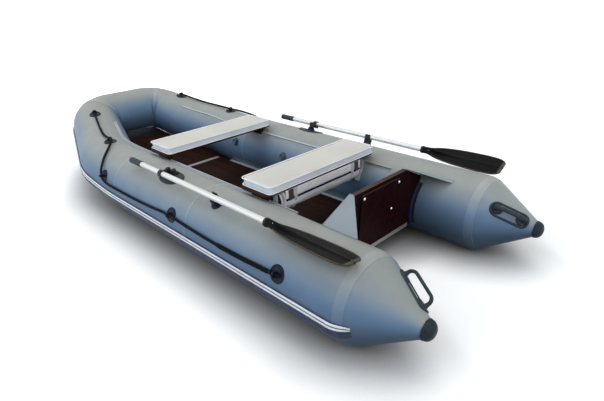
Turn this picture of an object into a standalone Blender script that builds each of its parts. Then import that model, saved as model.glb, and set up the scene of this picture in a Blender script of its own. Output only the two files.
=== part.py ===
"""Inflatable boat with a plywood floor, a transom, two padded bench seats and two oars.

The boat lies along X with its bow at -X and its stern at +X, port is -Y and Z is up.
Its two side tubes rest on Z = 0.  Lengths are metres and angles are degrees.
"""
import math

import bmesh
import bpy
from mathutils import Matrix, Vector

# Hull tubes
HALF_LENGTH = 1.710
TUBE_R = 0.200
TUBE_SIDES = 36
SIDE_SPACING = 0.994
CONE_LENGTH = 0.292
CONE_END_R = 0.036
BOW_TUBE_R = 0.170
BOW_RISE = 0.185
RISE_LENGTH = 1.115
BEND_LENGTH = 0.690
BEND_R = 0.700
BOW_CORNER_Y = 0.275
BOW_CORNER_INSIDE = 0.016
SEAM_GAP = 0.0003
SEAT_GAP = 0.0006

# Rubber trim on the tubes
STRAKE_WIDTH = 0.076
STRAKE_THICK = 0.017
STRAKE_ANGLE = 101
STRAKE_ON_CONE = 0.070
CAP_LENGTH = 0.037
CAP_WALL = 0.0035
RAIL_ANGLE = -38
RAIL_TO_TRANSOM = 0.192
RAIL_TO_BOW = 0.343
RAIL_BASE_WIDTH = 0.026
RAIL_BASE_THICK = 0.0015
RAIL_NECK = 0.003
BEAD_R = 0.004
BEAD_HEIGHT = 0.008

# Bottom and floor
SKIN_ANGLE = -150
SKIN_THICK = 0.002
SKIN_TO_TRANSOM = 0.037
SKIN_DIP = 0.018
SKIN_RISE = 0.080
FLOOR_EDGE_ANGLE = -123.8
FLOOR_THICK = 0.010
FLOOR_TO_TRANSOM = 0.062
FLOOR_TO_BOW = 0.198
BOW_PANEL_LENGTH = 0.355
FORE_PANEL_LENGTH = 0.290
MIDDLE_PANEL_LENGTH = 0.850
FORE_PANEL_RISE = 0.022
BOW_PANEL_RISE = 0.112
FLOOR_SIDE_GAP = 0.0055
JOINT_BAR_WIDTH = 0.022
JOINT_BAR_PROUD = 0.002
STRINGER_AFT_GAP = 0.330
STRINGER_FORE_GAP = 0.130
STRINGER_WALL = 0.0022
STRINGER_REACH = 0.024
KEEL_WIDTH = 0.120
KEEL_TO_TRANSOM = 0.192
KEEL_TO_BOW_PANEL = 0.030

# Transom
TRANSOM_TO_STERN = 0.618
TRANSOM_THICK = 0.027
TRANSOM_OVER_TUBES = 0.0538
TRANSOM_TOP_HALF = 0.212
TRANSOM_SHOULDER_ANGLE = 36.85
TRANSOM_SHOULDER_LIFT = 0.0184
TRANSOM_CURVE_END = 41
TRANSOM_OVER_FLOOR = 0.010
TRANSOM_RAKE = 4.3
PAD_PLATE_WIDTH = 0.320
PAD_PLATE_THICK = 0.009
PAD_PLATE_DROP = 0.018
PAD_PLATE_FOOT = 0.067
EDGE_PROFILE_WALL = 0.0025
EDGE_PROFILE_HEIGHT = 0.020
HOLDER_WIDTH = 0.078
HOLDER_BASE = 0.0042
HOLDER_RIB = 0.007
HOLDER_HEIGHT = 0.018
HOLDER_TOP_ANGLE = -46
HOLDER_LOW_ANGLE = -115
GUSSET_FORE = 0.020
GUSSET_AFT = 0.178
GUSSET_ANGLE = -33
GUSSET_FLANGE = 0.020
GUSSET_THICK = 0.0025

# Seats
FRONT_SEAT_TO_RISE = 0.137
REAR_SEAT_TO_TRANSOM = 0.451
SEAT_OVER_RAIL = 0.0538
SEAT_OVER_TUBES = 0.0033
SEAT_BOARD_WIDTH = 0.200
SEAT_BOARD_THICK = 0.012
PAD_INSET = 0.016
PAD_WIDTH = 0.224
PAD_THICK = 0.045
PAD_CROWN = 0.006
PAD_WAIST = 0.004
SHOE_LENGTH = 0.120
SHOE_WIDTH = 0.026
BEAD_CLEARANCE = 0.0009
BAG_SIDE_GAP = 0.0073
BAG_TOP_WIDTH = 0.200
BAG_BOTTOM_WIDTH = 0.130
BAG_DEPTH = 0.140
BAG_BEVEL = 0.0052

# Oars and their locks
LOCK_TO_FRONT_SEAT = 0.371
LOCK_ANGLE = 16
OAR_OFFSET = 0.04126
OAR_HEIGHT = 0.050
SHAFT_R = 0.015
SHAFT_FORE = 0.330
SHAFT_AFT = 0.900
GRIP_R = 0.0185
GRIP_LENGTH = 0.125
GRIP_OVER = 0.012
BLADE_LENGTH = 0.480
BLADE_WIDTH = 0.130
BLADE_THICK = 0.008
BLADE_SOCKET = 0.100
BLADE_SOCKET_R = 0.0205
PORT_BLADE_ROLL = 0
STARBOARD_BLADE_ROLL = 20
LOCK_PATCH_LENGTH = 0.210
LOCK_PATCH_WIDTH = 0.112
LOCK_PATCH_THICK = 0.005
LOCK_BOSS_R = 0.026
LOCK_BOSS_HEIGHT = 0.022
PIN_R = 0.0065
PIN_HEAD_R = 0.011
PIN_HEAD_THICK = 0.005
HUB_R = 0.015
RUN_GAP = 0.0005
RING_WIDTH = 0.026
RING_WALL = 0.0055
BOSS_PROUD = 0.003
STUB_R = 0.005
CLIP_TO_LOCK = 0.465
CLIP_LENGTH = 0.034
CLIP_WALL = 0.006
CLIP_BASE_R = 0.032

# Lifeline, its eyelets, the cone handles and the valves
ROPE_R = 0.0065
ROPE_POINTS = 66
BOW_EYELET_TO_BOW = 0.238
SHOULDER_EYELET_TO_BOW = 0.758
FORE_EYELET_TO_BOW = 1.008
MIDDLE_EYELET_TO_TRANSOM = 0.807
AFT_EYELET_PAST_TRANSOM = 0.002
EYELET_R = 0.041
EYELET_THICK = 0.0045
LOOP_R = 0.0125
LOOP_WIRE_R = 0.0045
LOOP_HEIGHT = 0.0175
HANDLE_LENGTH = 0.200
HANDLE_WIDTH = 0.080
HANDLE_PLATE = 0.005
HANDLE_ANGLE = -47
HANDLE_TO_CAP = 0.0270
HANDLE_HOLE_LENGTH = 0.134
HANDLE_HOLE_WIDTH = 0.052
HANDLE_GRIP_LENGTH = 0.156
HANDLE_GRIP_HEIGHT = 0.044
HANDLE_GRIP_R = 0.0085
VALVE_ANGLE = -72
VALVE_R = 0.031
VALVE_FLANGE = 0.004
VALVE_CAP_R = 0.022
VALVE_CAP_HEIGHT = 0.012
VALVE_CAP_GAP = 0.0006
MIDDLE_VALVE_X = 0.070
FORE_VALVE_X = -0.449

# The lifeline's route, by hand: place along the boat, angle round the tube and share of the
# height of the eyelets' loops
ROPE_ROUTE_SHARES = (
    (-1.305, 2.6, 1.0), (-1.285, 3.0, 1.0), (-1.255, 3.4, 1.0), (-1.15, 3.5, 0.8), (-1.03, 3.2, 0.7),
    (-0.90, 2.6, 0.75), (-0.80, 2.0, 0.95), (-0.765, 2.0, 1.0), (-0.735, 4.0, 1.0), (-0.70, 9.0, 0.9),
    (-0.655, 20, 0.6), (-0.605, 37, 0.6), (-0.562, 53, 0.75), (-0.536, 62, 0.98), (-0.515, 68.0, 1.0),
    (-0.493, 72.2, 0.98), (-0.43, 76, 0.75), (-0.28, 76.5, 0.6), (-0.08, 75.6, 0.6), (0.10, 73.2, 0.65),
    (0.22, 70.6, 0.85), (0.285, 70.0, 1.0), (0.35, 70.6, 0.85), (0.47, 72.6, 0.65), (0.66, 74.0, 0.6),
    (0.86, 73.4, 0.6), (1.00, 71.3, 0.8), (1.07, 70.2, 1.0), (1.094, 70.0, 1.0), (1.118, 70.0, 1.0),
)

# Worked out from the sizes above
STERN_X = HALF_LENGTH
SEAM_X = STERN_X - CONE_LENGTH
CONE_END_X = STERN_X - CAP_LENGTH + 2 * CAP_WALL
HALF_SPACING = SIDE_SPACING / 2
TUBE_Z = TUBE_R * math.cos(math.pi / TUBE_SIDES)
TUBE_TOP = TUBE_Z + TUBE_R
BOW_X = -HALF_LENGTH + STRAKE_THICK + BOW_TUBE_R
BOW_CORNER_R = BOW_TUBE_R + BOW_CORNER_INSIDE
RISE_X = BOW_X + RISE_LENGTH
BEND_X = BOW_X + BEND_LENGTH
TRANSOM_X = STERN_X - TRANSOM_TO_STERN
RAIL_AFT_X = TRANSOM_X - RAIL_TO_TRANSOM
RAIL_BOW_X = BOW_X + RAIL_TO_BOW
SKIN_AFT_X = TRANSOM_X - SKIN_TO_TRANSOM
FLOOR_TOP = TUBE_Z + TUBE_R * math.cos(math.radians(FLOOR_EDGE_ANGLE))
FLOOR_AFT_X = TRANSOM_X - FLOOR_TO_TRANSOM
BOW_PANEL_END = BOW_X + FLOOR_TO_BOW
BOW_PANEL_X = BOW_PANEL_END + BOW_PANEL_LENGTH
FLOOR_FORE_X = BOW_PANEL_X + FORE_PANEL_LENGTH
FLOOR_MID_X = FLOOR_FORE_X + MIDDLE_PANEL_LENGTH
STRINGER_AFT_X = FLOOR_AFT_X - STRINGER_AFT_GAP
STRINGER_FORE_X = FLOOR_FORE_X + STRINGER_FORE_GAP
KEEL_AFT_X = TRANSOM_X - KEEL_TO_TRANSOM
KEEL_BOW_X = BOW_PANEL_X + KEEL_TO_BOW_PANEL
TRANSOM_TOP = TUBE_TOP + TRANSOM_OVER_TUBES
TRANSOM_BOTTOM = FLOOR_TOP + TRANSOM_OVER_FLOOR
PAD_PLATE_HEIGHT = TRANSOM_TOP - PAD_PLATE_DROP - TRANSOM_BOTTOM - PAD_PLATE_FOOT
GUSSET_FORE_X = TRANSOM_X - GUSSET_FORE
GUSSET_AFT_X = TRANSOM_X + GUSSET_AFT
FRONT_SEAT_X = RISE_X + FRONT_SEAT_TO_RISE
REAR_SEAT_X = TRANSOM_X - REAR_SEAT_TO_TRANSOM
SEAT_BOARD_Z = TUBE_TOP + SEAT_OVER_TUBES
LOCK_X = FRONT_SEAT_X + LOCK_TO_FRONT_SEAT
CLIP_X = LOCK_X + CLIP_TO_LOCK
OAR_ANGLE = LOCK_ANGLE + math.degrees(math.asin(OAR_OFFSET / (TUBE_R + OAR_HEIGHT)))
EYELETS = (
    ("bow", BOW_X + BOW_EYELET_TO_BOW, 3), ("shoulder", BOW_X + SHOULDER_EYELET_TO_BOW, 2),
    ("fore", BOW_X + FORE_EYELET_TO_BOW, 68), ("middle", TRANSOM_X - MIDDLE_EYELET_TO_TRANSOM, 70),
    ("aft", TRANSOM_X + AFT_EYELET_PAST_TRANSOM, 70),
)
VALVES = (
    ("port_valve_cap", MIDDLE_VALVE_X, -1), ("starboard_fore_valve_cap", FORE_VALVE_X, 1),
    ("starboard_aft_valve_cap", MIDDLE_VALVE_X, 1),
)
CONE_SLOPE = math.atan2(TUBE_R - CONE_END_R, CONE_END_X - SEAM_X)
FULL_TURN = 2 * math.pi

boat = bpy.data.collections.new("inflatable_boat")
guides = bpy.data.collections.new("joint_axes")


def clear_scene():
    for thing in list(bpy.data.objects):
        bpy.data.objects.remove(thing, do_unlink=True)
    for group in (boat, guides):
        bpy.context.scene.collection.children.link(group)


def finish_of(name, colour, roughness, metallic=0.0):
    made = bpy.data.materials.new(name)
    made.use_nodes = True
    shader = made.node_tree.nodes["Principled BSDF"]
    shader.inputs["Base Color"].default_value = (*colour, 1)
    shader.inputs["Roughness"].default_value = roughness
    shader.inputs["Metallic"].default_value = metallic
    return made


PVC = finish_of("grey_pvc", (0.36, 0.41, 0.47), 0.42)
RUBBER = finish_of("black_rubber", (0.02, 0.02, 0.022), 0.5)
STRAKE_RUBBER = finish_of("dark_grey_rubber", (0.10, 0.10, 0.13), 0.4)
PLYWOOD = finish_of("brown_plywood", (0.10, 0.03, 0.02), 0.35)
ALUMINIUM = finish_of("aluminium", (0.80, 0.80, 0.82), 0.3, 1.0)
VINYL = finish_of("pale_vinyl", (0.72, 0.70, 0.66), 0.45)
SILVER_CLOTH = finish_of("silver_cloth", (0.60, 0.61, 0.63), 0.4)
PLASTIC = finish_of("black_plastic", (0.015, 0.015, 0.015), 0.35)
ROPE = finish_of("black_rope", (0.012, 0.012, 0.014), 0.8)


# Making solids

def object_of(name, mesh, finish, smooth=True):
    made = bpy.data.objects.new(name, mesh)
    boat.objects.link(made)
    mesh.materials.clear()
    mesh.materials.append(finish)
    if smooth:
        mesh.shade_smooth()
        mesh.set_sharp_from_angle(angle=math.radians(35))
    return made


def mesh_of(name, bm):
    bmesh.ops.recalc_face_normals(bm, faces=bm.faces)
    mesh = bpy.data.meshes.new(name)
    bm.to_mesh(mesh)
    bm.free()
    return mesh


def loft(name, rings, finish, closed=False):
    """A solid through closed rings of points, with flat ends or closed on itself."""
    bm = bmesh.new()
    rows = [[bm.verts.new(point) for point in ring] for ring in rings]
    count = len(rows[0])
    for near, far in zip(rows, rows[1:] + rows[:1] if closed else rows[1:]):
        for i in range(count):
            j = (i + 1) % count
            bm.faces.new((near[i], near[j], far[j], far[i]))
    if not closed:
        bm.faces.new(rows[0][::-1])
        bm.faces.new(rows[-1])
    return object_of(name, mesh_of(name, bm), finish)


def sheet(name, rows, finish, thickness):
    """An open sheet through rows of points, given a thickness to both its sides."""
    bm = bmesh.new()
    grid = [[bm.verts.new(point) for point in row] for row in rows]
    for near, far in zip(grid, grid[1:]):
        for i in range(len(near) - 1):
            bm.faces.new((near[i], near[i + 1], far[i + 1], far[i]))
    made = object_of(name, mesh_of(name, bm), finish)
    solid = made.modifiers.new("Thickness", "SOLIDIFY")
    solid.thickness = thickness
    solid.offset = 0
    return made


def slab(name, outline, depth, axis, finish, bevel=0.0):
    """A flat outline of (across, up) points, drawn out by its depth to both sides along an axis."""
    curve = bpy.data.curves.new(name, "CURVE")
    curve.dimensions = "2D"
    curve.fill_mode = "BOTH"
    curve.extrude = depth / 2 - bevel
    curve.bevel_depth = bevel
    curve.bevel_resolution = 0
    curve.offset = -bevel
    spline = curve.splines.new("POLY")
    spline.points.add(len(outline) - 1)
    for point, (across, up) in zip(spline.points, outline):
        point.co = (across, up, 0, 1)
    spline.use_cyclic_u = True
    turns = {
        "X": Matrix(((0, 0, 1), (1, 0, 0), (0, 1, 0))),
        "Y": Matrix(((1, 0, 0), (0, 0, -1), (0, 1, 0))),
        "Z": Matrix.Identity(3),
    }
    drawn = bpy.data.objects.new(name + "_outline", curve)
    boat.objects.link(drawn)
    made = solid_from(drawn, name, finish)
    made.data.transform(turns[axis].to_4x4())
    return made


def solid_from(drawn, name, finish):
    """A closed mesh made from a curve object, which is then removed."""
    bpy.context.view_layer.update()
    evaluated = drawn.evaluated_get(bpy.context.evaluated_depsgraph_get())
    bm = bmesh.new()
    bm.from_mesh(bpy.data.meshes.new_from_object(evaluated))
    bmesh.ops.remove_doubles(bm, verts=bm.verts, dist=1e-5)
    placed = drawn.matrix_world.copy()
    bpy.data.objects.remove(drawn, do_unlink=True)
    mesh = mesh_of(name, bm)
    mesh.transform(placed)
    return object_of(name, mesh, finish)


def tube(name, points, radius, finish, resolution=2):
    """A round bar or rope along a smooth row of points."""
    curve = bpy.data.curves.new(name, "CURVE")
    curve.dimensions = "3D"
    curve.bevel_depth = radius
    curve.bevel_resolution = resolution
    curve.use_fill_caps = True
    spline = curve.splines.new("POLY")
    spline.points.add(len(points) - 1)
    for point, place in zip(spline.points, points):
        point.co = (*place, 1)
    drawn = bpy.data.objects.new(name + "_path", curve)
    boat.objects.link(drawn)
    return solid_from(drawn, name, finish)


def turned(name, profile, finish, steps=20):
    """A solid of revolution about Z.  The (radius, height) profile runs down its outer side."""
    bm = bmesh.new()
    corners = [bm.verts.new((radius, 0, height)) for radius, height in profile]
    closing = [corners[0]] if profile[0][0] > 0 else []
    for first, second in zip(corners, corners[1:] + closing):
        if first.co.x > 0 or second.co.x > 0:
            bm.edges.new((first, second))
    mesh = bpy.data.meshes.new(name)
    bm.to_mesh(mesh)
    bm.free()
    made = object_of(name, mesh, finish)
    screw = made.modifiers.new("Turn", "SCREW")
    screw.steps = steps
    screw.render_steps = steps
    screw.use_merge_vertices = True
    screw.merge_threshold = 0.0001
    screw.use_normal_calculate = True
    return bake(made)


def bake(made):
    """The object with its modifiers and its place worked into the mesh."""
    bpy.context.view_layer.update()
    evaluated = made.evaluated_get(bpy.context.evaluated_depsgraph_get())
    bm = bmesh.new()
    bm.from_mesh(bpy.data.meshes.new_from_object(evaluated))
    name, finish, placed = made.name, made.data.materials[0], made.matrix_world.copy()
    bpy.data.objects.remove(made, do_unlink=True)
    mesh = mesh_of(name, bm)
    mesh.transform(placed)
    return object_of(name, mesh, finish)


def combine(made, others, operation="UNION"):
    """The object joined with, or cut by, others, which are used up."""
    for other in others:
        step = made.modifiers.new("Join", "BOOLEAN")
        step.operation = operation
        step.solver = "EXACT"
        step.object = other
    made = bake(made)
    for other in others:
        bpy.data.objects.remove(other, do_unlink=True)
    return made


def box(name, low, high, finish):
    bm = bmesh.new()
    low, high = Vector(low), Vector(high)
    middle, size = (low + high) / 2, high - low
    bmesh.ops.create_cube(bm, size=1, matrix=Matrix.Translation(middle) @ Matrix.Diagonal((*size, 1)))
    return object_of(name, mesh_of(name, bm), finish)


def mirrored(made, name):
    """The same piece for the other side of the boat."""
    mesh = made.data.copy()
    mesh.transform(Matrix.Scale(-1, 4, (0, 1, 0)))
    mesh.flip_normals()
    return object_of(name, mesh, made.data.materials[0])


def both_sides(made):
    return made, mirrored(made, made.name.replace("port_", "starboard_", 1))


def for_side(made, side, name):
    """The piece, drawn on the port side, put on the side it belongs to."""
    if side > 0:
        port = made
        made = mirrored(port, name + "_mirrored")
        bpy.data.objects.remove(port, do_unlink=True)
    made.name = name
    return made


def rounded(width, height, radius, steps=5):
    """A rectangle about 0 with round corners, as (across, up) points."""
    points = []
    for quarter, (sx, sy) in enumerate(((1, 1), (-1, 1), (-1, -1), (1, -1))):
        for step in range(steps + 1):
            turn = math.radians(90 * (quarter + step / steps))
            points.append((
                sx * (width / 2 - radius) + radius * math.cos(turn),
                sy * (height / 2 - radius) + radius * math.sin(turn),
            ))
    return points


def frame_at(origin, along, normal):
    """A matrix with X along, Z on the normal, at the origin."""
    normal = normal.normalized()
    along = (along - normal * along.dot(normal)).normalized()
    across = normal.cross(along)
    turned_to = Matrix((along, across, normal)).transposed().to_4x4()
    return Matrix.Translation(origin) @ turned_to


def place(made, matrix):
    made.data.transform(matrix)
    return made


# The centreline of the tubes, for the port half from the stern to the middle of the bow

class Station:
    """A cross-section of the port tube: its centre, its directions and its radius."""

    def __init__(self, centre, along, radius):
        self.centre = centre
        self.along = along.normalized()
        self.out = Vector((-self.along.y, self.along.x, 0)).normalized()
        self.up = self.along.cross(self.out).normalized()
        self.radius = radius

    def direction(self, angle):
        """From straight up at 0 to outboard at 90 degrees."""
        turn = math.radians(angle)
        return self.out * math.sin(turn) + self.up * math.cos(turn)

    def point(self, angle, height=0.0):
        return self.centre + self.direction(angle) * (self.radius + height)


def rise_share(x):
    return min(max((RISE_X - x) / (RISE_X - BOW_X), 0), 1)


def lifted(plan):
    return Vector((plan[0], plan[1], TUBE_Z + BOW_RISE * rise_share(plan[0]) ** 2))


def tube_radius(x):
    return TUBE_R + (BOW_TUBE_R - TUBE_R) * rise_share(x)


def arc(before, corner, after, radius, steps):
    """Points of a round corner of a plan line."""
    before, corner, after = Vector(before), Vector(corner), Vector(after)
    into, out_of = (before - corner).normalized(), (after - corner).normalized()
    half = into.angle(out_of) / 2
    middle = corner + (into + out_of).normalized() * (radius / math.sin(half))
    start = corner + into * (radius / math.tan(half)) - middle
    end = corner + out_of * (radius / math.tan(half)) - middle
    sweep = start.angle_signed(end)
    return [middle + Matrix.Rotation(-sweep * k / steps, 2) @ start for k in range(steps + 1)]


STERN_PLAN = (SEAM_X, -HALF_SPACING)
BEND_PLAN = (BEND_X, -HALF_SPACING)
CORNER_PLAN = (BOW_X, -BOW_CORNER_Y)
NOSE_PLAN = (BOW_X, 0)
CORNER_STEPS = 8


def plan_points():
    """The plan line of the port half, and the index of its bow seam."""
    bend = arc(STERN_PLAN, BEND_PLAN, CORNER_PLAN, BEND_R, 4)
    corner = arc(BEND_PLAN, CORNER_PLAN, NOSE_PLAN, BOW_CORNER_R, CORNER_STEPS)
    line = [Vector(STERN_PLAN), Vector((RISE_X, -HALF_SPACING))]
    line.append((line[-1] + bend[0]) / 2)
    line += bend
    line += [bend[-1].lerp(corner[0], step / 4) for step in (1, 2, 3)]
    seam = len(line) + CORNER_STEPS // 2
    line += corner
    line.append(Vector(NOSE_PLAN))
    return line, seam


def stations():
    plan, seam = plan_points()
    places = [lifted(point) for point in plan]
    made = []
    for i, centre in enumerate(places):
        before = places[max(i - 1, 0)]
        after = places[min(i + 1, len(places) - 1)]
        along = (after - centre).normalized() + (centre - before).normalized()
        if i < 2:
            along = Vector((-1, 0, 0))
        if i == len(places) - 1:
            along = Vector((0, 1, 0))
        made.append(Station(centre, along, tube_radius(centre.x)))
    return made, seam


HULL, BOW_SEAM = stations()


def station_at(x):
    """The station of the side tube at a place along the boat, its cone included."""
    if x >= SEAM_X:
        share = (x - SEAM_X) / (CONE_END_X - SEAM_X)
        radius = TUBE_R + (CONE_END_R - TUBE_R) * share
        return Station(Vector((x, -HALF_SPACING, TUBE_Z)), Vector((-1, 0, 0)), radius)
    for aft, fore in zip(HULL, HULL[1:]):
        if fore.centre.x <= x:
            share = (aft.centre.x - x) / (aft.centre.x - fore.centre.x)
            return Station(
                aft.centre.lerp(fore.centre, share),
                aft.along.lerp(fore.along, share),
                aft.radius + (fore.radius - aft.radius) * share,
            )
    return HULL[-1]


def ring(station, shift=0.0):
    """The outline of a tube, with a flat facet underneath."""
    points = []
    for k in range(TUBE_SIDES):
        angle = 360 * (k + 0.5) / TUBE_SIDES
        points.append(station.point(angle) + station.along * shift)
    return points


def other_side(points):
    return [Vector((p.x, -p.y, p.z)) for p in points]


# Hull

def hull_tubes():
    """Side tubes with their stern cones, and the bow tube between its two seams."""
    cone_end = station_at(CONE_END_X)
    rings = [ring(cone_end)] + [ring(station) for station in HULL[:BOW_SEAM]]
    rings.append(ring(HULL[BOW_SEAM], -SEAM_GAP / 2))
    port, starboard = both_sides(loft("port_tube", rings, PVC))
    combine(port, [valve_seat(x, side) for _, x, side in VALVES if side < 0])
    combine(starboard, [valve_seat(x, side) for _, x, side in VALVES if side > 0])
    half = [ring(HULL[BOW_SEAM], SEAM_GAP / 2)] + [ring(s) for s in HULL[BOW_SEAM + 1:-1]]
    loft("bow_tube", half + [ring(HULL[-1])] + [other_side(r) for r in half[::-1]], PVC)


def cone_caps():
    """A moulded rubber cup over the end of each cone."""
    base_x = STERN_X - CAP_LENGTH
    seat = CAP_WALL / 4
    slope = math.tan(CONE_SLOPE)
    base_r = station_at(base_x).radius
    end_r = CONE_END_R + SEAT_GAP
    deep = CONE_END_X + seat - base_x
    nose = CAP_LENGTH - deep
    profile = [(0, CAP_LENGTH)] + [
        (CONE_END_R * math.sin(turn), deep + nose * math.cos(turn)) for turn in map(math.radians, (32, 62))
    ]
    profile += [(CONE_END_R + CAP_WALL, deep - nose / 8), (base_r + CAP_WALL, 0)]
    profile += [(base_r + SEAT_GAP + seat * slope, 0), (end_r + seat * slope, deep - seat), (0, deep)]
    cap = turned("port_cone_cap", profile, RUBBER, 26)
    place(cap, frame_at(Vector((base_x, -HALF_SPACING, TUBE_Z)), Vector((0, 0, -1)), Vector((1, 0, 0))))
    both_sides(cap)


def strake_ring(station):
    """The half-round section of the rubbing strake, ribbed along its top."""
    half = STRAKE_WIDTH / 2
    shape_shares = (
        (-1, 0), (-0.97, 0.30), (-0.75, 0.62), (-0.42, 0.86), (-0.10, 1.0), (0.30, 0.98),
        (0.66, 0.76), (0.93, 0.36), (1, 0),
    )
    points = []
    for across_share, height_share in shape_shares:
        angle = STRAKE_ANGLE + math.degrees(half * across_share / station.radius)
        points.append(station.point(angle, SEAT_GAP + STRAKE_THICK * height_share))
    facet = 360 / TUBE_SIDES
    nearest = facet * (math.floor(STRAKE_ANGLE / facet) + 0.5)
    points += [station.point(nearest, SEAT_GAP), station.point(nearest - facet, SEAT_GAP)]
    return points


def rub_strake():
    """One rubber strake round the whole hull, from cone to cone."""
    route = [station_at(SEAM_X + STRAKE_ON_CONE * share) for share in (1, 0.5)] + HULL[:-1]
    port = [strake_ring(station) for station in route]
    loft("rub_strake", port + [strake_ring(HULL[-1])] + [other_side(r) for r in port[::-1]], STRAKE_RUBBER)


def rail_ring(station):
    """A flat strip with a round bead on a neck, which the seat shoes hook round."""
    base = RAIL_BASE_WIDTH / 2
    low, top = SEAT_GAP, SEAT_GAP + RAIL_BASE_THICK
    shape = [(-base, low), (-base, top), (-RAIL_NECK / 2, top)]
    for step in range(7):
        turn = math.radians(-150 + 300 * step / 6)
        shape.append((BEAD_R * math.sin(turn), BEAD_HEIGHT + BEAD_R * math.cos(turn)))
    shape += [(RAIL_NECK / 2, top), (base, top), (base, low)]
    return [station.point(RAIL_ANGLE + math.degrees(u / station.radius), h) for u, h in shape]


def seat_rails():
    inside = [s for s in HULL if RAIL_BOW_X < s.centre.x < RAIL_AFT_X]
    route = [station_at(RAIL_AFT_X)] + inside + [station_at(RAIL_BOW_X)]
    both_sides(loft("port_seat_rail", [rail_ring(station) for station in route], PVC))


# Bottom, keel and floor

def floor_z(x):
    """Height of the top of the floor: level aft, and tilted up in two panels at the bow."""
    if x >= FLOOR_FORE_X:
        return FLOOR_TOP
    if x >= BOW_PANEL_X:
        share = (FLOOR_FORE_X - x) / (FLOOR_FORE_X - BOW_PANEL_X)
        return FLOOR_TOP + FORE_PANEL_RISE * share
    share = (BOW_PANEL_X - x) / (BOW_PANEL_X - BOW_PANEL_END)
    return FLOOR_TOP + FORE_PANEL_RISE + (BOW_PANEL_RISE - FORE_PANEL_RISE) * share


def half_gap(x, z):
    """Half the clear width between the side tubes at a place and a height."""
    station = station_at(x)
    drop = min(abs(z - station.centre.z) / station.up.z, station.radius)
    reach = math.sqrt(station.radius ** 2 - drop ** 2) / abs(station.along.x)
    return -station.centre.y - reach


def skin_edge(station):
    return station.point(SKIN_ANGLE, SEAT_GAP + SKIN_THICK / 2)


def skin_row(edge, dip):
    """A row across the bottom, hanging to a shallow V at the keel line."""
    row = []
    for share in (-1, -0.5, 0, 0.5, 1):
        row.append(Vector((edge.x, -edge.y * share, edge.z - dip * (1 - abs(share)))))
    return row


def bottom_skin():
    """The bottom fabric, glued low on the tubes and turned up to the transom at its aft end."""
    lift = SEAT_GAP + SKIN_THICK / 2
    top_z = TRANSOM_BOTTOM - 3 * EDGE_PROFILE_WALL - 2 * SKIN_THICK
    high = -math.degrees(math.acos((top_z - TUBE_Z) / (TUBE_R + lift)))
    run = (top_z - skin_edge(station_at(SKIN_AFT_X)).z) * 2
    rows = []
    for step in range(4):
        share = 1 - step / 4
        angle = SKIN_ANGLE + (high - SKIN_ANGLE) * share
        edge = station_at(SKIN_AFT_X - run * (1 - share)).point(angle, lift)
        rows.append(skin_row(edge, SKIN_DIP * (1 - share)))
    flat_x = SKIN_AFT_X - run
    bow = skin_edge(HULL[-1])
    for station in [station_at(flat_x)] + [s for s in HULL[1:BOW_SEAM] if s.centre.x < flat_x]:
        edge = skin_edge(station)
        rows.append(skin_row(edge, SKIN_DIP * min(1, (edge.x - bow.x) / SKIN_RISE)))
    straight = [s for s in HULL[BOW_SEAM:] if abs(s.along.x) < 0.001][0]
    rows.append(skin_row(Vector((bow.x, straight.centre.y, bow.z)), 0))
    sheet("bottom_skin", rows, PVC, SKIN_THICK)


def keel_tube():
    """The inflatable keel, squeezed to an oval between the bottom and the floor."""
    inside = [s.centre.x for s in HULL if KEEL_BOW_X < s.centre.x < KEEL_AFT_X]
    places = sorted([KEEL_AFT_X, KEEL_BOW_X, FLOOR_FORE_X] + inside)
    rings = []
    for x in places:
        low = skin_edge(station_at(x)).z - SKIN_DIP + 2 * SKIN_THICK
        high = floor_z(x) - FLOOR_THICK - 2 * JOINT_BAR_PROUD
        shrink = 0.6 if x in (places[0], places[-1]) else 1
        middle, tall = (low + high) / 2, (high - low) / 2 * shrink
        rings.append([
            Vector((x, KEEL_WIDTH / 2 * shrink * math.cos(a), middle + tall * math.sin(a)))
            for a in (FULL_TURN * k / 12 for k in range(12))
        ])
    loft("keel_tube", rings, PVC)


def stringer_y():
    return half_gap(0, FLOOR_TOP - FLOOR_THICK / 2) - FLOOR_SIDE_GAP


def panel(name, aft_x, fore_x, bar):
    """A floor panel that fills the width between the tubes, with a joint bar at its aft edge."""
    beside_stringer = fore_x >= FLOOR_FORE_X
    rings = []
    for step in range(4):
        x = aft_x + (fore_x - aft_x) * step / 3
        if bar and step == 0:
            x -= JOINT_BAR_WIDTH / 2
        top = floor_z(x)
        if beside_stringer:
            wide = stringer_y() - STRINGER_WALL - SEAM_GAP
        else:
            wide = half_gap(x, top - FLOOR_THICK / 2) - FLOOR_SIDE_GAP
        rings.append([Vector((x, y * wide, top - z)) for y, z in ((-1, 0), (-1, FLOOR_THICK), (1, FLOOR_THICK), (1, 0))])
    made = loft(name, rings, PLYWOOD)
    if bar:
        top = floor_z(aft_x)
        wide = stringer_y() - STRINGER_REACH - JOINT_BAR_PROUD
        low = (aft_x - JOINT_BAR_WIDTH + SEAM_GAP, -wide, top - FLOOR_THICK - JOINT_BAR_PROUD)
        high = (aft_x - SEAM_GAP, wide, top + JOINT_BAR_PROUD)
        made = combine(made, [box(name + "_bar", low, high, ALUMINIUM)])
    return made


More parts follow.
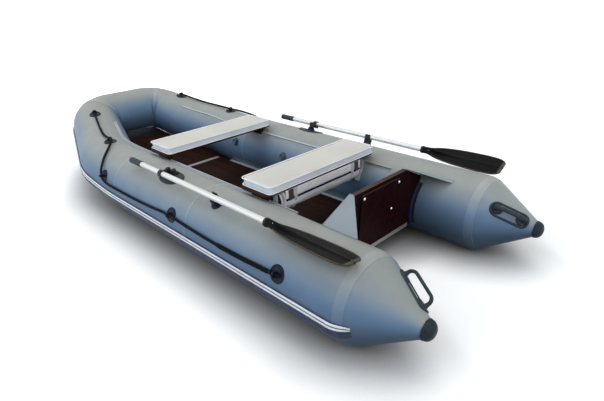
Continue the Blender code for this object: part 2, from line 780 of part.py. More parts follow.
def floor():
    """Four panels joined by bars, and a channel over the side edges of the level ones."""
    panel("stern_floor_panel", FLOOR_AFT_X, FLOOR_MID_X + SEAM_GAP, False)
    panel("middle_floor_panel", FLOOR_MID_X, FLOOR_FORE_X + SEAM_GAP, True)
    panel("fore_floor_panel", FLOOR_FORE_X, BOW_PANEL_X + SEAM_GAP, True)
    panel("bow_floor_panel", BOW_PANEL_X, BOW_PANEL_END, True)
    outer = -stringer_y()
    low = FLOOR_TOP - FLOOR_THICK - SEAM_GAP
    high = FLOOR_TOP + SEAM_GAP
    wall, inner = STRINGER_WALL, outer + STRINGER_REACH
    channel = [
        (outer, low - wall), (inner, low - wall), (inner, low), (outer + wall, low),
        (outer + wall, high), (inner, high), (inner, high + wall), (outer, high + wall),
    ]
    stringer = slab("port_stringer", channel, STRINGER_AFT_X - STRINGER_FORE_X, "X", ALUMINIUM)
    place(stringer, Matrix.Translation(((STRINGER_AFT_X + STRINGER_FORE_X) / 2, 0, 0)))
    both_sides(stringer)


# Transom

def raked(made):
    """Leaned with the transom: its top further aft."""
    shift = Matrix.Identity(4)
    shift[0][2] = math.tan(math.radians(TRANSOM_RAKE))
    shift[0][3] = TRANSOM_X - TRANSOM_TOP * shift[0][2]
    made.data.transform(shift)
    return made


def transom_x(z):
    return TRANSOM_X + (z - TRANSOM_TOP) * math.tan(math.radians(TRANSOM_RAKE))


def transom_side():
    """The starboard half of the board's outline, from its bottom to its top corner."""
    clear = HOLDER_BASE + 3 * SEAM_GAP
    seat = station_at(TRANSOM_X)
    low = math.degrees(math.acos((TRANSOM_BOTTOM - TUBE_Z) / (TUBE_R + clear)))
    points = []
    for step in range(9):
        points.append(seat.point(-low - (TRANSOM_CURVE_END - low) * step / 8, clear))
    points.append(seat.point(-TRANSOM_SHOULDER_ANGLE, TRANSOM_SHOULDER_LIFT))
    return [(-point.y, point.z) for point in points] + [(TRANSOM_TOP_HALF, TRANSOM_TOP)]


def transom():
    """The plywood board with its outer pad, and the channel under its lower edge."""
    side = transom_side()
    outline = side + [(-y, z) for y, z in side[::-1]]
    raked(slab("transom_board", outline, TRANSOM_THICK, "X", PLYWOOD, SEAM_GAP))
    plate = slab("transom_pad", rounded(PAD_PLATE_WIDTH, PAD_PLATE_HEIGHT, 0.022), PAD_PLATE_THICK, "X", PLYWOOD,
                 PAD_PLATE_THICK / 5)
    behind = (TRANSOM_THICK + PAD_PLATE_THICK) / 2 + SEAM_GAP
    place(plate, Matrix.Translation((behind, 0, TRANSOM_TOP - PAD_PLATE_DROP - PAD_PLATE_HEIGHT / 2)))
    raked(plate)
    inside = TRANSOM_THICK / 2 + SEAM_GAP
    outside = inside + EDGE_PROFILE_WALL
    floor_of = TRANSOM_BOTTOM - SEAM_GAP
    base, lip = floor_of - EDGE_PROFILE_WALL, floor_of + EDGE_PROFILE_HEIGHT
    channel = [
        (-outside, base), (outside, base), (outside, lip), (inside, lip),
        (inside, floor_of), (-inside, floor_of), (-inside, lip), (-outside, lip),
    ]
    length = 2 * (side[0][0] - 2 * HOLDER_HEIGHT)
    raked(slab("transom_edge_profile", channel, length, "Y", ALUMINIUM))


def transom_holders():
    """Rubber channels glued round the inside of each tube, which hold the board's edges."""
    half, rib = HOLDER_WIDTH / 2, TRANSOM_THICK / 2 + 2 * SEAM_GAP
    thin = HOLDER_BASE / 3
    section = [
        (-half, SEAT_GAP), (-half, thin), (-rib - 2 * HOLDER_RIB, HOLDER_BASE), (-rib - HOLDER_RIB, HOLDER_HEIGHT),
        (-rib, HOLDER_HEIGHT), (-rib, HOLDER_BASE), (rib, HOLDER_BASE), (rib, HOLDER_HEIGHT),
        (rib + HOLDER_RIB, HOLDER_HEIGHT), (rib + 2 * HOLDER_RIB, HOLDER_BASE), (half, thin), (half, SEAT_GAP),
    ]
    rings = []
    for step in range(11):
        angle = HOLDER_TOP_ANGLE + (HOLDER_LOW_ANGLE - HOLDER_TOP_ANGLE) * step / 10
        points = []
        for along, height in section:
            z = station_at(TRANSOM_X).point(angle, height).z
            points.append(station_at(transom_x(z) + along).point(angle, height))
        rings.append(points)
    both_sides(loft("port_transom_holder", rings, RUBBER))


def transom_gussets():
    """Fabric triangles from the top of each tube to the transom's top corner."""
    lift = (GUSSET_THICK + SEAT_GAP) / 2
    top = Vector((TRANSOM_X, -TRANSOM_TOP_HALF + GUSSET_THICK, TRANSOM_TOP + 2 * GUSSET_THICK))
    flange = math.degrees(GUSSET_FLANGE / TUBE_R)
    rows = []
    for angle in (GUSSET_ANGLE + flange, GUSSET_ANGLE + flange / 2, GUSSET_ANGLE):
        rows.append([station_at(x).point(angle, lift)
                     for x in (GUSSET_AFT_X, TRANSOM_X, GUSSET_FORE_X)])
    tip = TRANSOM_THICK / 2
    rows.append([top + Vector((tip, 0, 0)), top, top - Vector((tip, 0, 0))])
    both_sides(bake(sheet("port_transom_gusset", rows, PVC, GUSSET_THICK)))


# Seats

def rail_frame():
    """The place and directions of the straight part of the port rail."""
    station = station_at(0)
    normal = station.direction(RAIL_ANGLE)
    inboard = Vector((0, normal.z, -normal.y))
    return station.point(RAIL_ANGLE), inboard, normal


def shoe(seat_x, side):
    """A block under the seat board with a round slot that hooks over the bead of the rail."""
    foot, inboard, normal = rail_frame()
    slot_r = BEAD_R + BEAD_CLEARANCE
    opening = math.degrees(math.asin((RAIL_NECK / 2 + BEAD_CLEARANCE) / slot_r))
    half, low = SHOE_WIDTH / 2, BEAD_HEIGHT - slot_r * math.cos(math.radians(opening))
    local = [(-half, low)]
    for step in range(9):
        turn = math.radians(180 + opening + (360 - 2 * opening) * step / 8)
        local.append((slot_r * math.sin(turn), BEAD_HEIGHT + slot_r * math.cos(turn)))
    local.append((half, low))
    points = [foot + inboard * u + normal * h for u, h in local]
    outline = [(p.y, p.z) for p in points]
    middle = foot.y + normal.y * BEAD_HEIGHT
    sunk = SEAT_BOARD_Z + SEAT_BOARD_THICK / 4
    outline += [(middle + half, sunk - half), (middle + half, sunk), (middle - half, sunk)]
    outline += [(middle - half, sunk - 2 * half)]
    made = slab("shoe", outline, SHOE_LENGTH, "X", PLASTIC)
    place(made, Matrix.Translation((seat_x, 0, 0)))
    return for_side(made, side, "shoe")


def seat_length():
    """Length of the seat boards, which reach past the rails of both tubes."""
    foot, inboard, normal = rail_frame()
    return 2 * (SEAT_OVER_RAIL - foot.y - normal.y * BEAD_HEIGHT)


def seat_board(name, seat_x):
    outline = rounded(SEAT_BOARD_WIDTH, seat_length(), SEAT_BOARD_WIDTH / 8)
    board = slab(name, outline, SEAT_BOARD_THICK, "Z", PLYWOOD, SEAT_BOARD_THICK / 8)
    place(board, Matrix.Translation((seat_x, 0, SEAT_BOARD_Z + SEAT_BOARD_THICK / 2)))
    return combine(board, [shoe(seat_x, -1), shoe(seat_x, 1)])


def seat_pad(name, seat_x):
    """A foam pad in a welded cover: its sides drawn in between the seams, its top crowned."""
    base = SEAT_BOARD_Z + SEAT_BOARD_THICK + SEAM_GAP
    edge = base + PAD_THICK - PAD_CROWN
    seam = PAD_WAIST / 2
    outlines = [(seam, base)]
    for step in range(5):
        up = step / 4
        outlines.append((PAD_WAIST * math.sin(math.pi * up), base + seam + (edge - base - 2 * seam) * up))
    for crown_share, inset_share in ((0, 0.03), (0.45, 0.14), (0.75, 0.34), (0.93, 0.62), (1, 0.90)):
        outlines.append((inset_share * PAD_WIDTH / 2, edge + PAD_CROWN * crown_share))
    rings = []
    for inset, z in outlines:
        corner = max(PAD_WIDTH / 9 - inset, PAD_WAIST / 4)
        outline = rounded(PAD_WIDTH - 2 * inset, seat_length() - 2 * (PAD_INSET + inset), corner, 4)
        rings.append([Vector((seat_x + x, y, z)) for x, y in outline])
    loft(name, rings, VINYL)


def seat_bag():
    """The zipped bag that hangs under the rear seat."""
    top = SEAT_BOARD_Z - SEAM_GAP
    half_top, half_low = BAG_TOP_WIDTH / 2, BAG_BOTTOM_WIDTH / 2
    outline = [
        (-half_top, top), (half_top, top), (half_top, top - BAG_DEPTH / 3),
        (half_low, top - BAG_DEPTH * 0.85), (half_low / 2, top - BAG_DEPTH),
        (-half_low / 2, top - BAG_DEPTH), (-half_low, top - BAG_DEPTH * 0.85),
        (-half_top, top - BAG_DEPTH / 3),
    ]
    length = 2 * (half_gap(REAR_SEAT_X, top - BAG_DEPTH) - BAG_SIDE_GAP)
    made = slab("seat_bag", outline, length, "Y", SILVER_CLOTH, BAG_BEVEL)
    place(made, Matrix.Translation((REAR_SEAT_X, 0, 0)))
    return made


def seats():
    seat_board("front_seat_board", FRONT_SEAT_X)
    seat_board("rear_seat_board", REAR_SEAT_X)
    seat_pad("front_seat_pad", FRONT_SEAT_X)
    seat_pad("rear_seat_pad", REAR_SEAT_X)
    seat_bag()


# Oars

def lock_frame():
    """Foot of the lock's pin on the port tube: X forward along the boat, Z out along the pin."""
    station = station_at(LOCK_X)
    return frame_at(station.point(LOCK_ANGLE, SEAT_GAP), Vector((1, 0, 0)), station.direction(LOCK_ANGLE))


def oar_centre():
    """Where the oar's axis crosses the plane of its lock."""
    return station_at(LOCK_X).point(OAR_ANGLE, OAR_HEIGHT)


def wrapped(made, x, angle):
    """A flat piece, drawn about 0, bent round the port tube at a place and an angle."""
    for vert in made.data.vertices:
        along, across, height = vert.co
        station = station_at(x + along)
        turn = angle + math.degrees(across / station.radius)
        vert.co = station.point(turn, height)
    bm = bmesh.new()
    bm.from_mesh(made.data)
    bmesh.ops.recalc_face_normals(bm, faces=bm.faces)
    bm.to_mesh(made.data)
    bm.free()
    return made


def handle_base(name):
    """The base of a lifting handle, about 0: a ring with straight sides and round ends."""
    outlines = (
        (HANDLE_LENGTH, HANDLE_WIDTH, 0), (HANDLE_LENGTH, HANDLE_WIDTH, HANDLE_PLATE / 2),
        (HANDLE_LENGTH - HANDLE_PLATE, HANDLE_WIDTH - HANDLE_PLATE, HANDLE_PLATE),
        (HANDLE_HOLE_LENGTH, HANDLE_HOLE_WIDTH, HANDLE_PLATE), (HANDLE_HOLE_LENGTH, HANDLE_HOLE_WIDTH, 0),
    )
    rings = []
    for length, width, height in outlines:
        straight = (length - width) / 2
        rings.append([
            Vector((
                math.copysign(straight, math.cos(a)) + width / 2 * math.cos(a), width / 2 * math.sin(a),
                SEAT_GAP + height,
            ))
            for a in (FULL_TURN * (k + 0.5) / 24 for k in range(24))
        ])
    return loft(name, rings, RUBBER, True)


def patch(name, length, width, thick, finish, steps=24):
    """An oval rubber patch with a thinned rim, about 0."""
    rings = []
    for share, height_share in ((1, 0), (1, 0.35), (0.86, 1)):
        rings.append([
            Vector((
                length / 2 * share * math.cos(a), width / 2 * share * math.sin(a), SEAT_GAP + thick * height_share,
            ))
            for a in (FULL_TURN * k / steps for k in range(steps))
        ])
    return loft(name, rings, finish)


def split_across(made, rows):
    """Cuts a patch in strips, so that it can follow the round of the tube."""
    bm = bmesh.new()
    bm.from_mesh(made.data)
    for y in rows:
        everything = bm.verts[:] + bm.edges[:] + bm.faces[:]
        bmesh.ops.bisect_plane(bm, geom=everything, plane_co=(0, y, 0), plane_no=(0, 1, 0))
    bm.to_mesh(made.data)
    bm.free()
    return made


def oarlock():
    """Rubber base with a headed pin, and the swivel on it that carries the ring of the oar."""
    foot = lock_frame()
    local = foot.inverted() @ oar_centre()
    strips = [LOCK_PATCH_WIDTH * share for share in (-0.3, -0.1, 0.1, 0.3)]
    base = patch("port_oarlock_base", LOCK_PATCH_LENGTH, LOCK_PATCH_WIDTH, LOCK_PATCH_THICK, RUBBER)
    base = wrapped(split_across(base, strips), LOCK_X, LOCK_ANGLE)
    hub_low = LOCK_BOSS_HEIGHT
    hub_high = local.z + STUB_R + RUN_GAP * 6
    head_low = hub_high + RUN_GAP
    post = turned("post", [
        (0, head_low + PIN_HEAD_THICK), (PIN_HEAD_R * 0.8, head_low + PIN_HEAD_THICK),
        (PIN_HEAD_R, head_low + PIN_HEAD_THICK * 0.6), (PIN_HEAD_R, head_low), (PIN_R, head_low),
        (PIN_R, hub_low - RUN_GAP), (LOCK_BOSS_R * 0.7, hub_low - RUN_GAP), (LOCK_BOSS_R, LOCK_BOSS_HEIGHT / 3),
        (LOCK_BOSS_R * 1.1, LOCK_PATCH_THICK / 2), (0, LOCK_PATCH_THICK / 2),
    ], RUBBER, 16)
    base = combine(base, [place(post, foot)])
    hub = turned("port_oarlock_swivel", [
        (PIN_R + RUN_GAP, hub_high), (HUB_R, hub_high), (HUB_R, hub_low), (PIN_R + RUN_GAP, hub_low),
    ], PLASTIC, 16)
    side = math.copysign(1, local.y)
    ring_r = SHAFT_R + SEAM_GAP + RING_WALL
    reach_to_boss = abs(local.y) - ring_r - BOSS_PROUD
    stub_end = abs(local.y) - SHAFT_R - SEAM_GAP - RUN_GAP - reach_to_boss
    arm = box("arm", (-HUB_R * 0.8, side * PIN_R * 1.5, hub_low + RUN_GAP),
              (HUB_R * 0.8, side * (reach_to_boss - RUN_GAP), hub_high - RUN_GAP), PLASTIC)
    stub = turned("stub", [(0, stub_end), (STUB_R, stub_end), (STUB_R, -PIN_R), (0, -PIN_R)], PLASTIC, 12)
    stub_at = frame_at(Vector((0, side * (reach_to_boss - RUN_GAP), local.z)), Vector((1, 0, 0)),
                       Vector((0, side, 0)))
    hub = combine(hub, [arm, place(stub, stub_at)])
    place(hub, foot)
    both_sides(base)
    both_sides(hub)


def oar_frame():
    """X aft along the oar, Z out along the pin of the lock, at the lock's ring."""
    return frame_at(oar_centre(), Vector((1, 0, 0)), station_at(LOCK_X).direction(LOCK_ANGLE))


def oar_ring():
    """The clamp round the shaft, with a bored boss that turns on the swivel's stub."""
    hole, outer = SHAFT_R + SEAM_GAP, SHAFT_R + SEAM_GAP + RING_WALL
    ring_made = turned("port_oar_ring", [
        (hole, RING_WIDTH / 2), (outer, RING_WIDTH / 2), (outer, -RING_WIDTH / 2), (hole, -RING_WIDTH / 2),
    ], PLASTIC, 20)
    place(ring_made, frame_at(Vector((0, 0, 0)), Vector((0, 0, 1)), Vector((1, 0, 0))))
    local = lock_frame().inverted() @ oar_centre()
    side = -math.copysign(1, local.y)
    boss = turned("boss", [
        (STUB_R + 2 * RUN_GAP, outer + BOSS_PROUD), (STUB_R + RING_WALL, outer + BOSS_PROUD),
        (STUB_R + RING_WALL, hole + RING_WALL / 3), (STUB_R + 2 * RUN_GAP, hole + RING_WALL / 3),
    ], PLASTIC, 12)
    turn = frame_at(Vector((0, 0, 0)), Vector((1, 0, 0)), Vector((0, side, 0)))
    bore = turned("bore", [
        (0, outer + RING_WALL), (STUB_R + 2 * RUN_GAP, outer + RING_WALL),
        (STUB_R + 2 * RUN_GAP, hole - RING_WALL), (0, hole - RING_WALL),
    ], PLASTIC, 12)
    ring_made = combine(ring_made, [place(boss, turn)])
    ring_made = combine(ring_made, [place(bore, turn)], "DIFFERENCE")
    return ring_made


def blade(name):
    """Socket, neck and ribbed blade in one moulding, its section changing along its length."""
    start = SHAFT_AFT - BLADE_SOCKET / 2
    half = BLADE_WIDTH / 2
    width_shares = (
        (0.00, 0.32), (0.10, 0.32), (0.19, 0.43), (0.30, 0.66), (0.44, 0.86), (0.60, 0.96),
        (0.77, 1.0), (0.90, 0.92), (0.97, 0.72), (1.00, 0.48),
    )
    rings = []
    for along_share, width_share in width_shares:
        wide = half * width_share
        thin = BLADE_SOCKET_R + (BLADE_THICK / 2 - BLADE_SOCKET_R) * min(max(along_share - 0.12, 0) / 0.33, 1)
        if along_share == 1:
            thin /= 2
        wide = max(wide, thin) if along_share < 0.3 else wide
        points = []
        for k in range(18):
            turn = FULL_TURN * k / 18
            c, s = math.cos(turn), math.sin(turn)
            flat = min(max(along_share - 0.12, 0) / 0.33, 1)
            power = 1 - 0.55 * flat
            y = wide * c
            z = thin * math.copysign(abs(s) ** power, s)
            ridge = BLADE_THICK * 0.9 * flat * max(0, 1 - abs(y) / (half * 0.16))
            points.append(Vector((start + BLADE_LENGTH * along_share, y, z + math.copysign(ridge, s) * (abs(s) > 0.3))))
        rings.append(points)
    made = loft(name, rings, PLASTIC)
    socket = turned("socket", [
        (0, SHAFT_AFT + SEAM_GAP), (SHAFT_R + SEAM_GAP, SHAFT_AFT + SEAM_GAP),
        (SHAFT_R + SEAM_GAP, start - BLADE_THICK), (0, start - BLADE_THICK),
    ], PLASTIC)
    place(socket, frame_at(Vector((0, 0, 0)), Vector((0, 0, -1)), Vector((1, 0, 0))))
    return combine(made, [socket], "DIFFERENCE")


def oars():
    """Aluminium shaft, rubber grip, clamp ring and moulded blade of each oar."""
    at_lock = oar_frame()
    along = frame_at(Vector((0, 0, 0)), Vector((0, 0, -1)), Vector((1, 0, 0)))
    shaft = turned("port_oar_shaft", [(0, SHAFT_AFT), (SHAFT_R, SHAFT_AFT), (SHAFT_R, -SHAFT_FORE), (0, -SHAFT_FORE)],
                   ALUMINIUM)
    hole = SHAFT_R + SEAM_GAP
    end = -SHAFT_FORE - GRIP_OVER
    inside = -SHAFT_FORE - SEAM_GAP
    last = inside + GRIP_LENGTH - GRIP_OVER
    grip = turned("port_oar_grip", [
        (hole, last), (GRIP_R * 0.95, last), (GRIP_R, last - GRIP_OVER), (GRIP_R * 0.9, last - GRIP_LENGTH / 2),
        (GRIP_R, end + GRIP_OVER), (GRIP_R * 0.8, end), (0, end), (0, inside), (hole, inside),
    ], RUBBER, 16)
    for piece in (place(shaft, along), place(grip, along), oar_ring()):
        both_sides(place(piece, at_lock))
    port = blade("port_oar_blade")
    starboard = blade("starboard_oar_blade")
    level = frame_at(oar_centre(), Vector((1, 0, 0)), Vector((0, 0, 1)))
    place(port, level @ Matrix.Rotation(math.radians(PORT_BLADE_ROLL), 4, "X"))
    place(starboard, level @ Matrix.Rotation(math.radians(-STARBOARD_BLADE_ROLL), 4, "X"))
    for_side(starboard, 1, "starboard_oar_blade")


def stow_clips():
    """A rubber saddle for the stowed shaft: a tall inboard ear and a low ramp outboard.

    The shaft leaves it outboard, square to the lock's pin, and lifts out along the pin."""
    tube_here = station_at(CLIP_X)
    frame = frame_at(tube_here.point(OAR_ANGLE, SEAT_GAP), Vector((1, 0, 0)), tube_here.direction(OAR_ANGLE))
    inboard = math.copysign(1, frame.col[1].y)
    hole = SHAFT_R + 2 * SEAM_GAP
    outer = hole + CLIP_WALL
    height = OAR_HEIGHT - SEAT_GAP
    lean = math.radians(OAR_ANGLE - LOCK_ANGLE)
    bed = []
    for step in range(8):
        turn = -lean - math.pi / 2 * (1 - step / 7)
        bed.append((hole * math.cos(turn), height + hole * math.sin(turn)))
    ramp, ear = hole * 0.7, hole * 0.9
    outline = [(bed[0][0] - ramp * math.cos(lean), bed[0][1] + ramp * math.sin(lean))] + bed
    top = (bed[-1][0] + ear * math.sin(lean), bed[-1][1] + ear * math.cos(lean))
    outline += [top, (top[0] + CLIP_WALL * 0.7, top[1]), (outer, height - outer * 0.3)]
    outline += [(outer * 0.75, LOCK_PATCH_THICK / 2), (-outer * 0.75, LOCK_PATCH_THICK / 2)]
    outline.append((-outer * 0.75, height - outer))
    saddle = slab("saddle", [(inboard * u, h) for u, h in outline], CLIP_LENGTH, "X", RUBBER)
    place(saddle, frame)
    base = patch("port_oar_clip", 2 * CLIP_BASE_R, 2 * CLIP_BASE_R, LOCK_PATCH_THICK, RUBBER, 18)
    strips = [CLIP_BASE_R * share for share in (-0.5, 0, 0.5)]
    base = wrapped(split_across(base, strips), CLIP_X, OAR_ANGLE)
    both_sides(combine(base, [saddle]))


# Lifeline, handles and valves

def wire_loop(radius, wire):
    """A closed ring of round wire about X."""
    bpy.ops.mesh.primitive_torus_add(
        major_radius=radius, minor_radius=wire, major_segments=12, minor_segments=6,
    )
    drawn = bpy.context.object
    mesh = drawn.data
    bpy.data.objects.remove(drawn, do_unlink=True)
    mesh.transform(Matrix.Rotation(math.pi / 2, 4, "Y"))
    return object_of("loop", mesh, RUBBER)


def eyelet(name, x, angle, rope):
    """A round rubber patch with a wire loop that stands square to the rope."""
    disc = patch(name, 2 * EYELET_R, 2 * EYELET_R, EYELET_THICK, RUBBER, 14)
    strips = [EYELET_R * share for share in (-0.45, 0, 0.45)]
    disc = wrapped(split_across(disc, strips), x, angle)
    station = station_at(x)
    centre = station.point(angle, SEAT_GAP + LOOP_HEIGHT)
    nearest = min(range(1, len(rope) - 1), key=lambda i: (rope[i] - centre).length)
    heading = rope[nearest + 1] - rope[nearest - 1]
    loop = place(wire_loop(LOOP_R, LOOP_WIRE_R), frame_at(centre, heading, station.direction(angle)))
    return combine(disc, [loop])


def smooth_route(points, count):
    """Evenly spread points of a smooth curve through hand-chosen ones."""
    dense = []
    for i in range(len(points) - 1):
        before = points[max(i - 1, 0)]
        after = points[min(i + 2, len(points) - 1)]
        a, b = points[i], points[i + 1]
        for step in range(12):
            t = step / 12
            dense.append((
                2 * a + (b - before) * t
                + (2 * before - 5 * a + 4 * b - after) * t * t
                + (3 * a - before - 3 * b + after) * t * t * t
            ) / 2)
    dense.append(points[-1])
    travelled = [0.0]
    for a, b in zip(dense, dense[1:]):
        travelled.append(travelled[-1] + (b - a).length)
    spread, k = [], 0
    for n in range(count):
        want = travelled[-1] * n / (count - 1)
        while k < len(dense) - 2 and travelled[k + 1] < want:
            k += 1
        share = (want - travelled[k]) / max(travelled[k + 1] - travelled[k], 1e-9)
        spread.append(dense[k].lerp(dense[k + 1], min(share, 1)))
    return spread


def lifelines():
    """One grab rope along each side, through the loops of its eyelets."""
    lowest = ROPE_R + 2 * SEAT_GAP
    points = []
    for x, angle, share in ROPE_ROUTE_SHARES:
        points.append(station_at(x).point(angle, max(lowest, (SEAT_GAP + LOOP_HEIGHT) * share)))
    rope = smooth_route(points, ROPE_POINTS)
    for name, x, angle in EYELETS:
        both_sides(eyelet("port_" + name + "_eyelet", x, angle, rope))
    both_sides(tube("port_lifeline", rope, ROPE_R, ROPE))


def cone_frame(distance, angle):
    """A place on the port cone, a distance down its slope from the seam: X down the slope."""
    x = SEAM_X + distance * math.cos(CONE_SLOPE)
    station = station_at(x)
    radial = station.direction(angle)
    aft = Vector((1, 0, 0))
    normal = radial * math.cos(CONE_SLOPE) + aft * math.sin(CONE_SLOPE)
    down = aft * math.cos(CONE_SLOPE) - radial * math.sin(CONE_SLOPE)
    return frame_at(station.point(angle), down, normal)


def cone_handles():
    """A lifting handle on the inner side of each cone: an open ring and a grip over it."""
    plate = split_across(
        handle_base("port_cone_handle"),
        [HANDLE_WIDTH * share for share in (-0.3, -0.1, 0.1, 0.3)],
    )
    cap_start = (STERN_X - CAP_LENGTH - SEAM_X) / math.cos(CONE_SLOPE)
    middle = cap_start - HANDLE_TO_CAP - HANDLE_LENGTH / 2
    for vert in plate.data.vertices:
        along, across, height = vert.co
        x = SEAM_X + (middle + along) * math.cos(CONE_SLOPE)
        turn = HANDLE_ANGLE + math.degrees(across / station_at(x).radius)
        vert.co = cone_frame(middle + along, turn) @ Vector((0, 0, height + SEAT_GAP))
    plate = bake(plate)
    half, high = HANDLE_GRIP_LENGTH / 2, HANDLE_GRIP_HEIGHT
    bend = 3 * HANDLE_GRIP_R
    path = [Vector((-half, 0, HANDLE_PLATE / 2)), Vector((-half, 0, high - bend))]
    for step in (1, 2, 3):
        turn = math.radians(30 * step)
        path.append(Vector((-half + bend * (1 - math.cos(turn)), 0, high - bend + bend * math.sin(turn))))
    path += [Vector((-p.x, 0, p.z)) for p in path[::-1]]
    grip = tube("grip", path, HANDLE_GRIP_R, RUBBER, 2)
    place(grip, cone_frame(middle, HANDLE_ANGLE))
    both_sides(combine(plate, [grip]))


def valve_frame(x):
    station = station_at(x)
    return frame_at(station.point(VALVE_ANGLE), station.along, station.direction(VALVE_ANGLE))


def valve_seat(x, side):
    """The raised neck of a valve, moulded on the tube's wall."""
    neck_r = VALVE_CAP_R * 0.8
    neck = turned("neck", [
        (0, 2 * VALVE_FLANGE - VALVE_CAP_GAP), (neck_r, 2 * VALVE_FLANGE - VALVE_CAP_GAP), (neck_r, VALVE_FLANGE),
        (VALVE_R * 0.93, VALVE_FLANGE), (VALVE_R, VALVE_FLANGE * 0.7), (VALVE_R, -VALVE_FLANGE), (0, -VALVE_FLANGE),
    ], PVC)
    return for_side(place(neck, valve_frame(x)), side, "neck")


def valve_cap(name, x, side):
    """A screw cap with a finger bar across it."""
    low, high = 2 * VALVE_FLANGE, 2 * VALVE_FLANGE + VALVE_CAP_HEIGHT
    cap = turned(name, [
        (0, high), (VALVE_CAP_R * 0.85, high), (VALVE_CAP_R, high - VALVE_FLANGE / 2), (VALVE_CAP_R, low), (0, low),
    ], PLASTIC)
    bar = box("bar", (-VALVE_CAP_R * 0.8, -VALVE_FLANGE / 2, high - VALVE_FLANGE),
              (VALVE_CAP_R * 0.8, VALVE_FLANGE / 2, high + VALVE_FLANGE / 2), PLASTIC)
    return for_side(place(combine(cap, [bar]), valve_frame(x)), side, name)


# Axes of the moving pieces

def hang(name, matrix, pieces):
    """An empty on a joint's axis, which carries the pieces that move on it."""
    empty = bpy.data.objects.new(name, None)
    guides.objects.link(empty)
    empty.matrix_world = matrix
    for piece in pieces:
        child = bpy.data.objects[piece]
        child.parent = empty
        child.matrix_parent_inverse = matrix.inverted()
    return empty


def over(matrix):
    """The mirror image of a port frame."""
    x, z, at = matrix.col[0].xyz, matrix.col[2].xyz, matrix.translation
    flip = Vector((1, -1, 1))
    return frame_at(at * flip, x * flip, z * flip)


def joint_axes():
    lock, oar = lock_frame(), oar_frame()
    for side, swing, tilt in (("port", lock, oar), ("starboard", over(lock), over(oar))):
        pivot = hang(side + "_oar_swing", swing, [side + "_oarlock_swivel"])
        pieces = [side + part for part in ("_oar_ring", "_oar_shaft", "_oar_grip", "_oar_blade")]
        ring_axis = hang(side + "_oar_tilt", tilt, pieces)
        ring_axis.parent = pivot
        ring_axis.matrix_parent_inverse = swing.inverted()
    for seat, x, pieces in (("front", FRONT_SEAT_X, []), ("rear", REAR_SEAT_X, ["seat_bag"])):
        at = Matrix.Translation((x, 0, SEAT_BOARD_Z))
        hang(seat + "_seat_slide", at, [seat + "_seat_board", seat + "_seat_pad"] + pieces)
    for name, x, side in VALVES:
        port = valve_frame(x)
        hang(name + "_turn", over(port) if side > 0 else port, [name])


def main():
    clear_scene()
    hull_tubes()
    cone_caps()
    rub_strake()
    seat_rails()
    bottom_skin()
    keel_tube()
    floor()
    transom()
    transom_holders()
    transom_gussets()
    seats()
    oarlock()
    oars()
    stow_clips()
    lifelines()
    cone_handles()
    for name, x, side in VALVES:
        valve_cap(name, x, side)
    joint_axes()


main()
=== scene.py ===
import math

import bmesh
import bpy
from mathutils import Matrix, Vector, noise


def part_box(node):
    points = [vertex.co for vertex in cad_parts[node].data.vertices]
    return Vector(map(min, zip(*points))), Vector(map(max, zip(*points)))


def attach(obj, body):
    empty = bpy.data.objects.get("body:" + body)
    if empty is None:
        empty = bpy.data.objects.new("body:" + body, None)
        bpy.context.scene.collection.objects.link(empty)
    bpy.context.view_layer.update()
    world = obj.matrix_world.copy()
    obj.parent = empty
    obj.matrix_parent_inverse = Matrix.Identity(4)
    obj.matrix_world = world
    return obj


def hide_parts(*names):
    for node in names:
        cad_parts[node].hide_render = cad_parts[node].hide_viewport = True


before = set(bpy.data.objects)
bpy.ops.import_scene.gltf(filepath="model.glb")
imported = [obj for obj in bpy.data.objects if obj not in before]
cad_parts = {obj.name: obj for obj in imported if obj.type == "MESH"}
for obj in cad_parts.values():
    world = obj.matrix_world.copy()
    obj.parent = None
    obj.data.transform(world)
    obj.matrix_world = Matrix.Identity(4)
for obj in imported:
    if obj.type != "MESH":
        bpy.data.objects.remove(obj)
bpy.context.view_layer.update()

# The boat stands on a white sweep, seen over its port quarter from standing height.
# Soft light comes from ahead on the port side and from above, as under an open sky,
# so the outside of the near tube and the tops are bright and the cockpit lies in shade.

SIGHT_FROM = (2.329, -1.732, 1.347)
SIGHT_TURN, SIGHT_DROP, SIGHT_TIP = 45.733, 25.028, -2.147
SENSOR_WIDTH, LENS_LENGTH, SIGHT_REACH = 36, 28.23, 100
camera_data = bpy.data.cameras.new("camera")
camera_data.sensor_width = SENSOR_WIDTH
camera_data.lens = LENS_LENGTH
camera_data.clip_end = SIGHT_REACH
camera = bpy.data.objects.new("camera", camera_data)
bpy.context.scene.collection.objects.link(camera)
bpy.context.scene.camera = camera
turn, drop, tip = (math.radians(angle) for angle in (SIGHT_TURN, SIGHT_DROP, SIGHT_TIP))
ahead = Vector((-math.sin(turn) * math.cos(drop), math.cos(turn) * math.cos(drop), -math.sin(drop)))
level = Vector((math.cos(turn), math.sin(turn), 0))
over_head = level.cross(ahead)
right = level * math.cos(tip) + over_head * math.sin(tip)
upward = over_head * math.cos(tip) - level * math.sin(tip)
camera.matrix_world = Matrix((right, upward, -ahead)).transposed().to_4x4()
camera.location = SIGHT_FROM

bpy.context.scene.view_settings.view_transform = "Standard"


def wide_lamp(name, towards, spread, strength, colour):
    """Light from a broad part of the sky, even over the whole boat."""
    lamp = bpy.data.lights.new(name, "SUN")
    lamp.angle = math.radians(spread)
    lamp.energy = strength
    lamp.color = colour
    holder = bpy.data.objects.new(name, lamp)
    bpy.context.scene.collection.objects.link(holder)
    holder.location = Vector(towards) * LAMP_AWAY
    holder.rotation_euler = Vector(towards).to_track_quat("Z", "Y").to_euler()


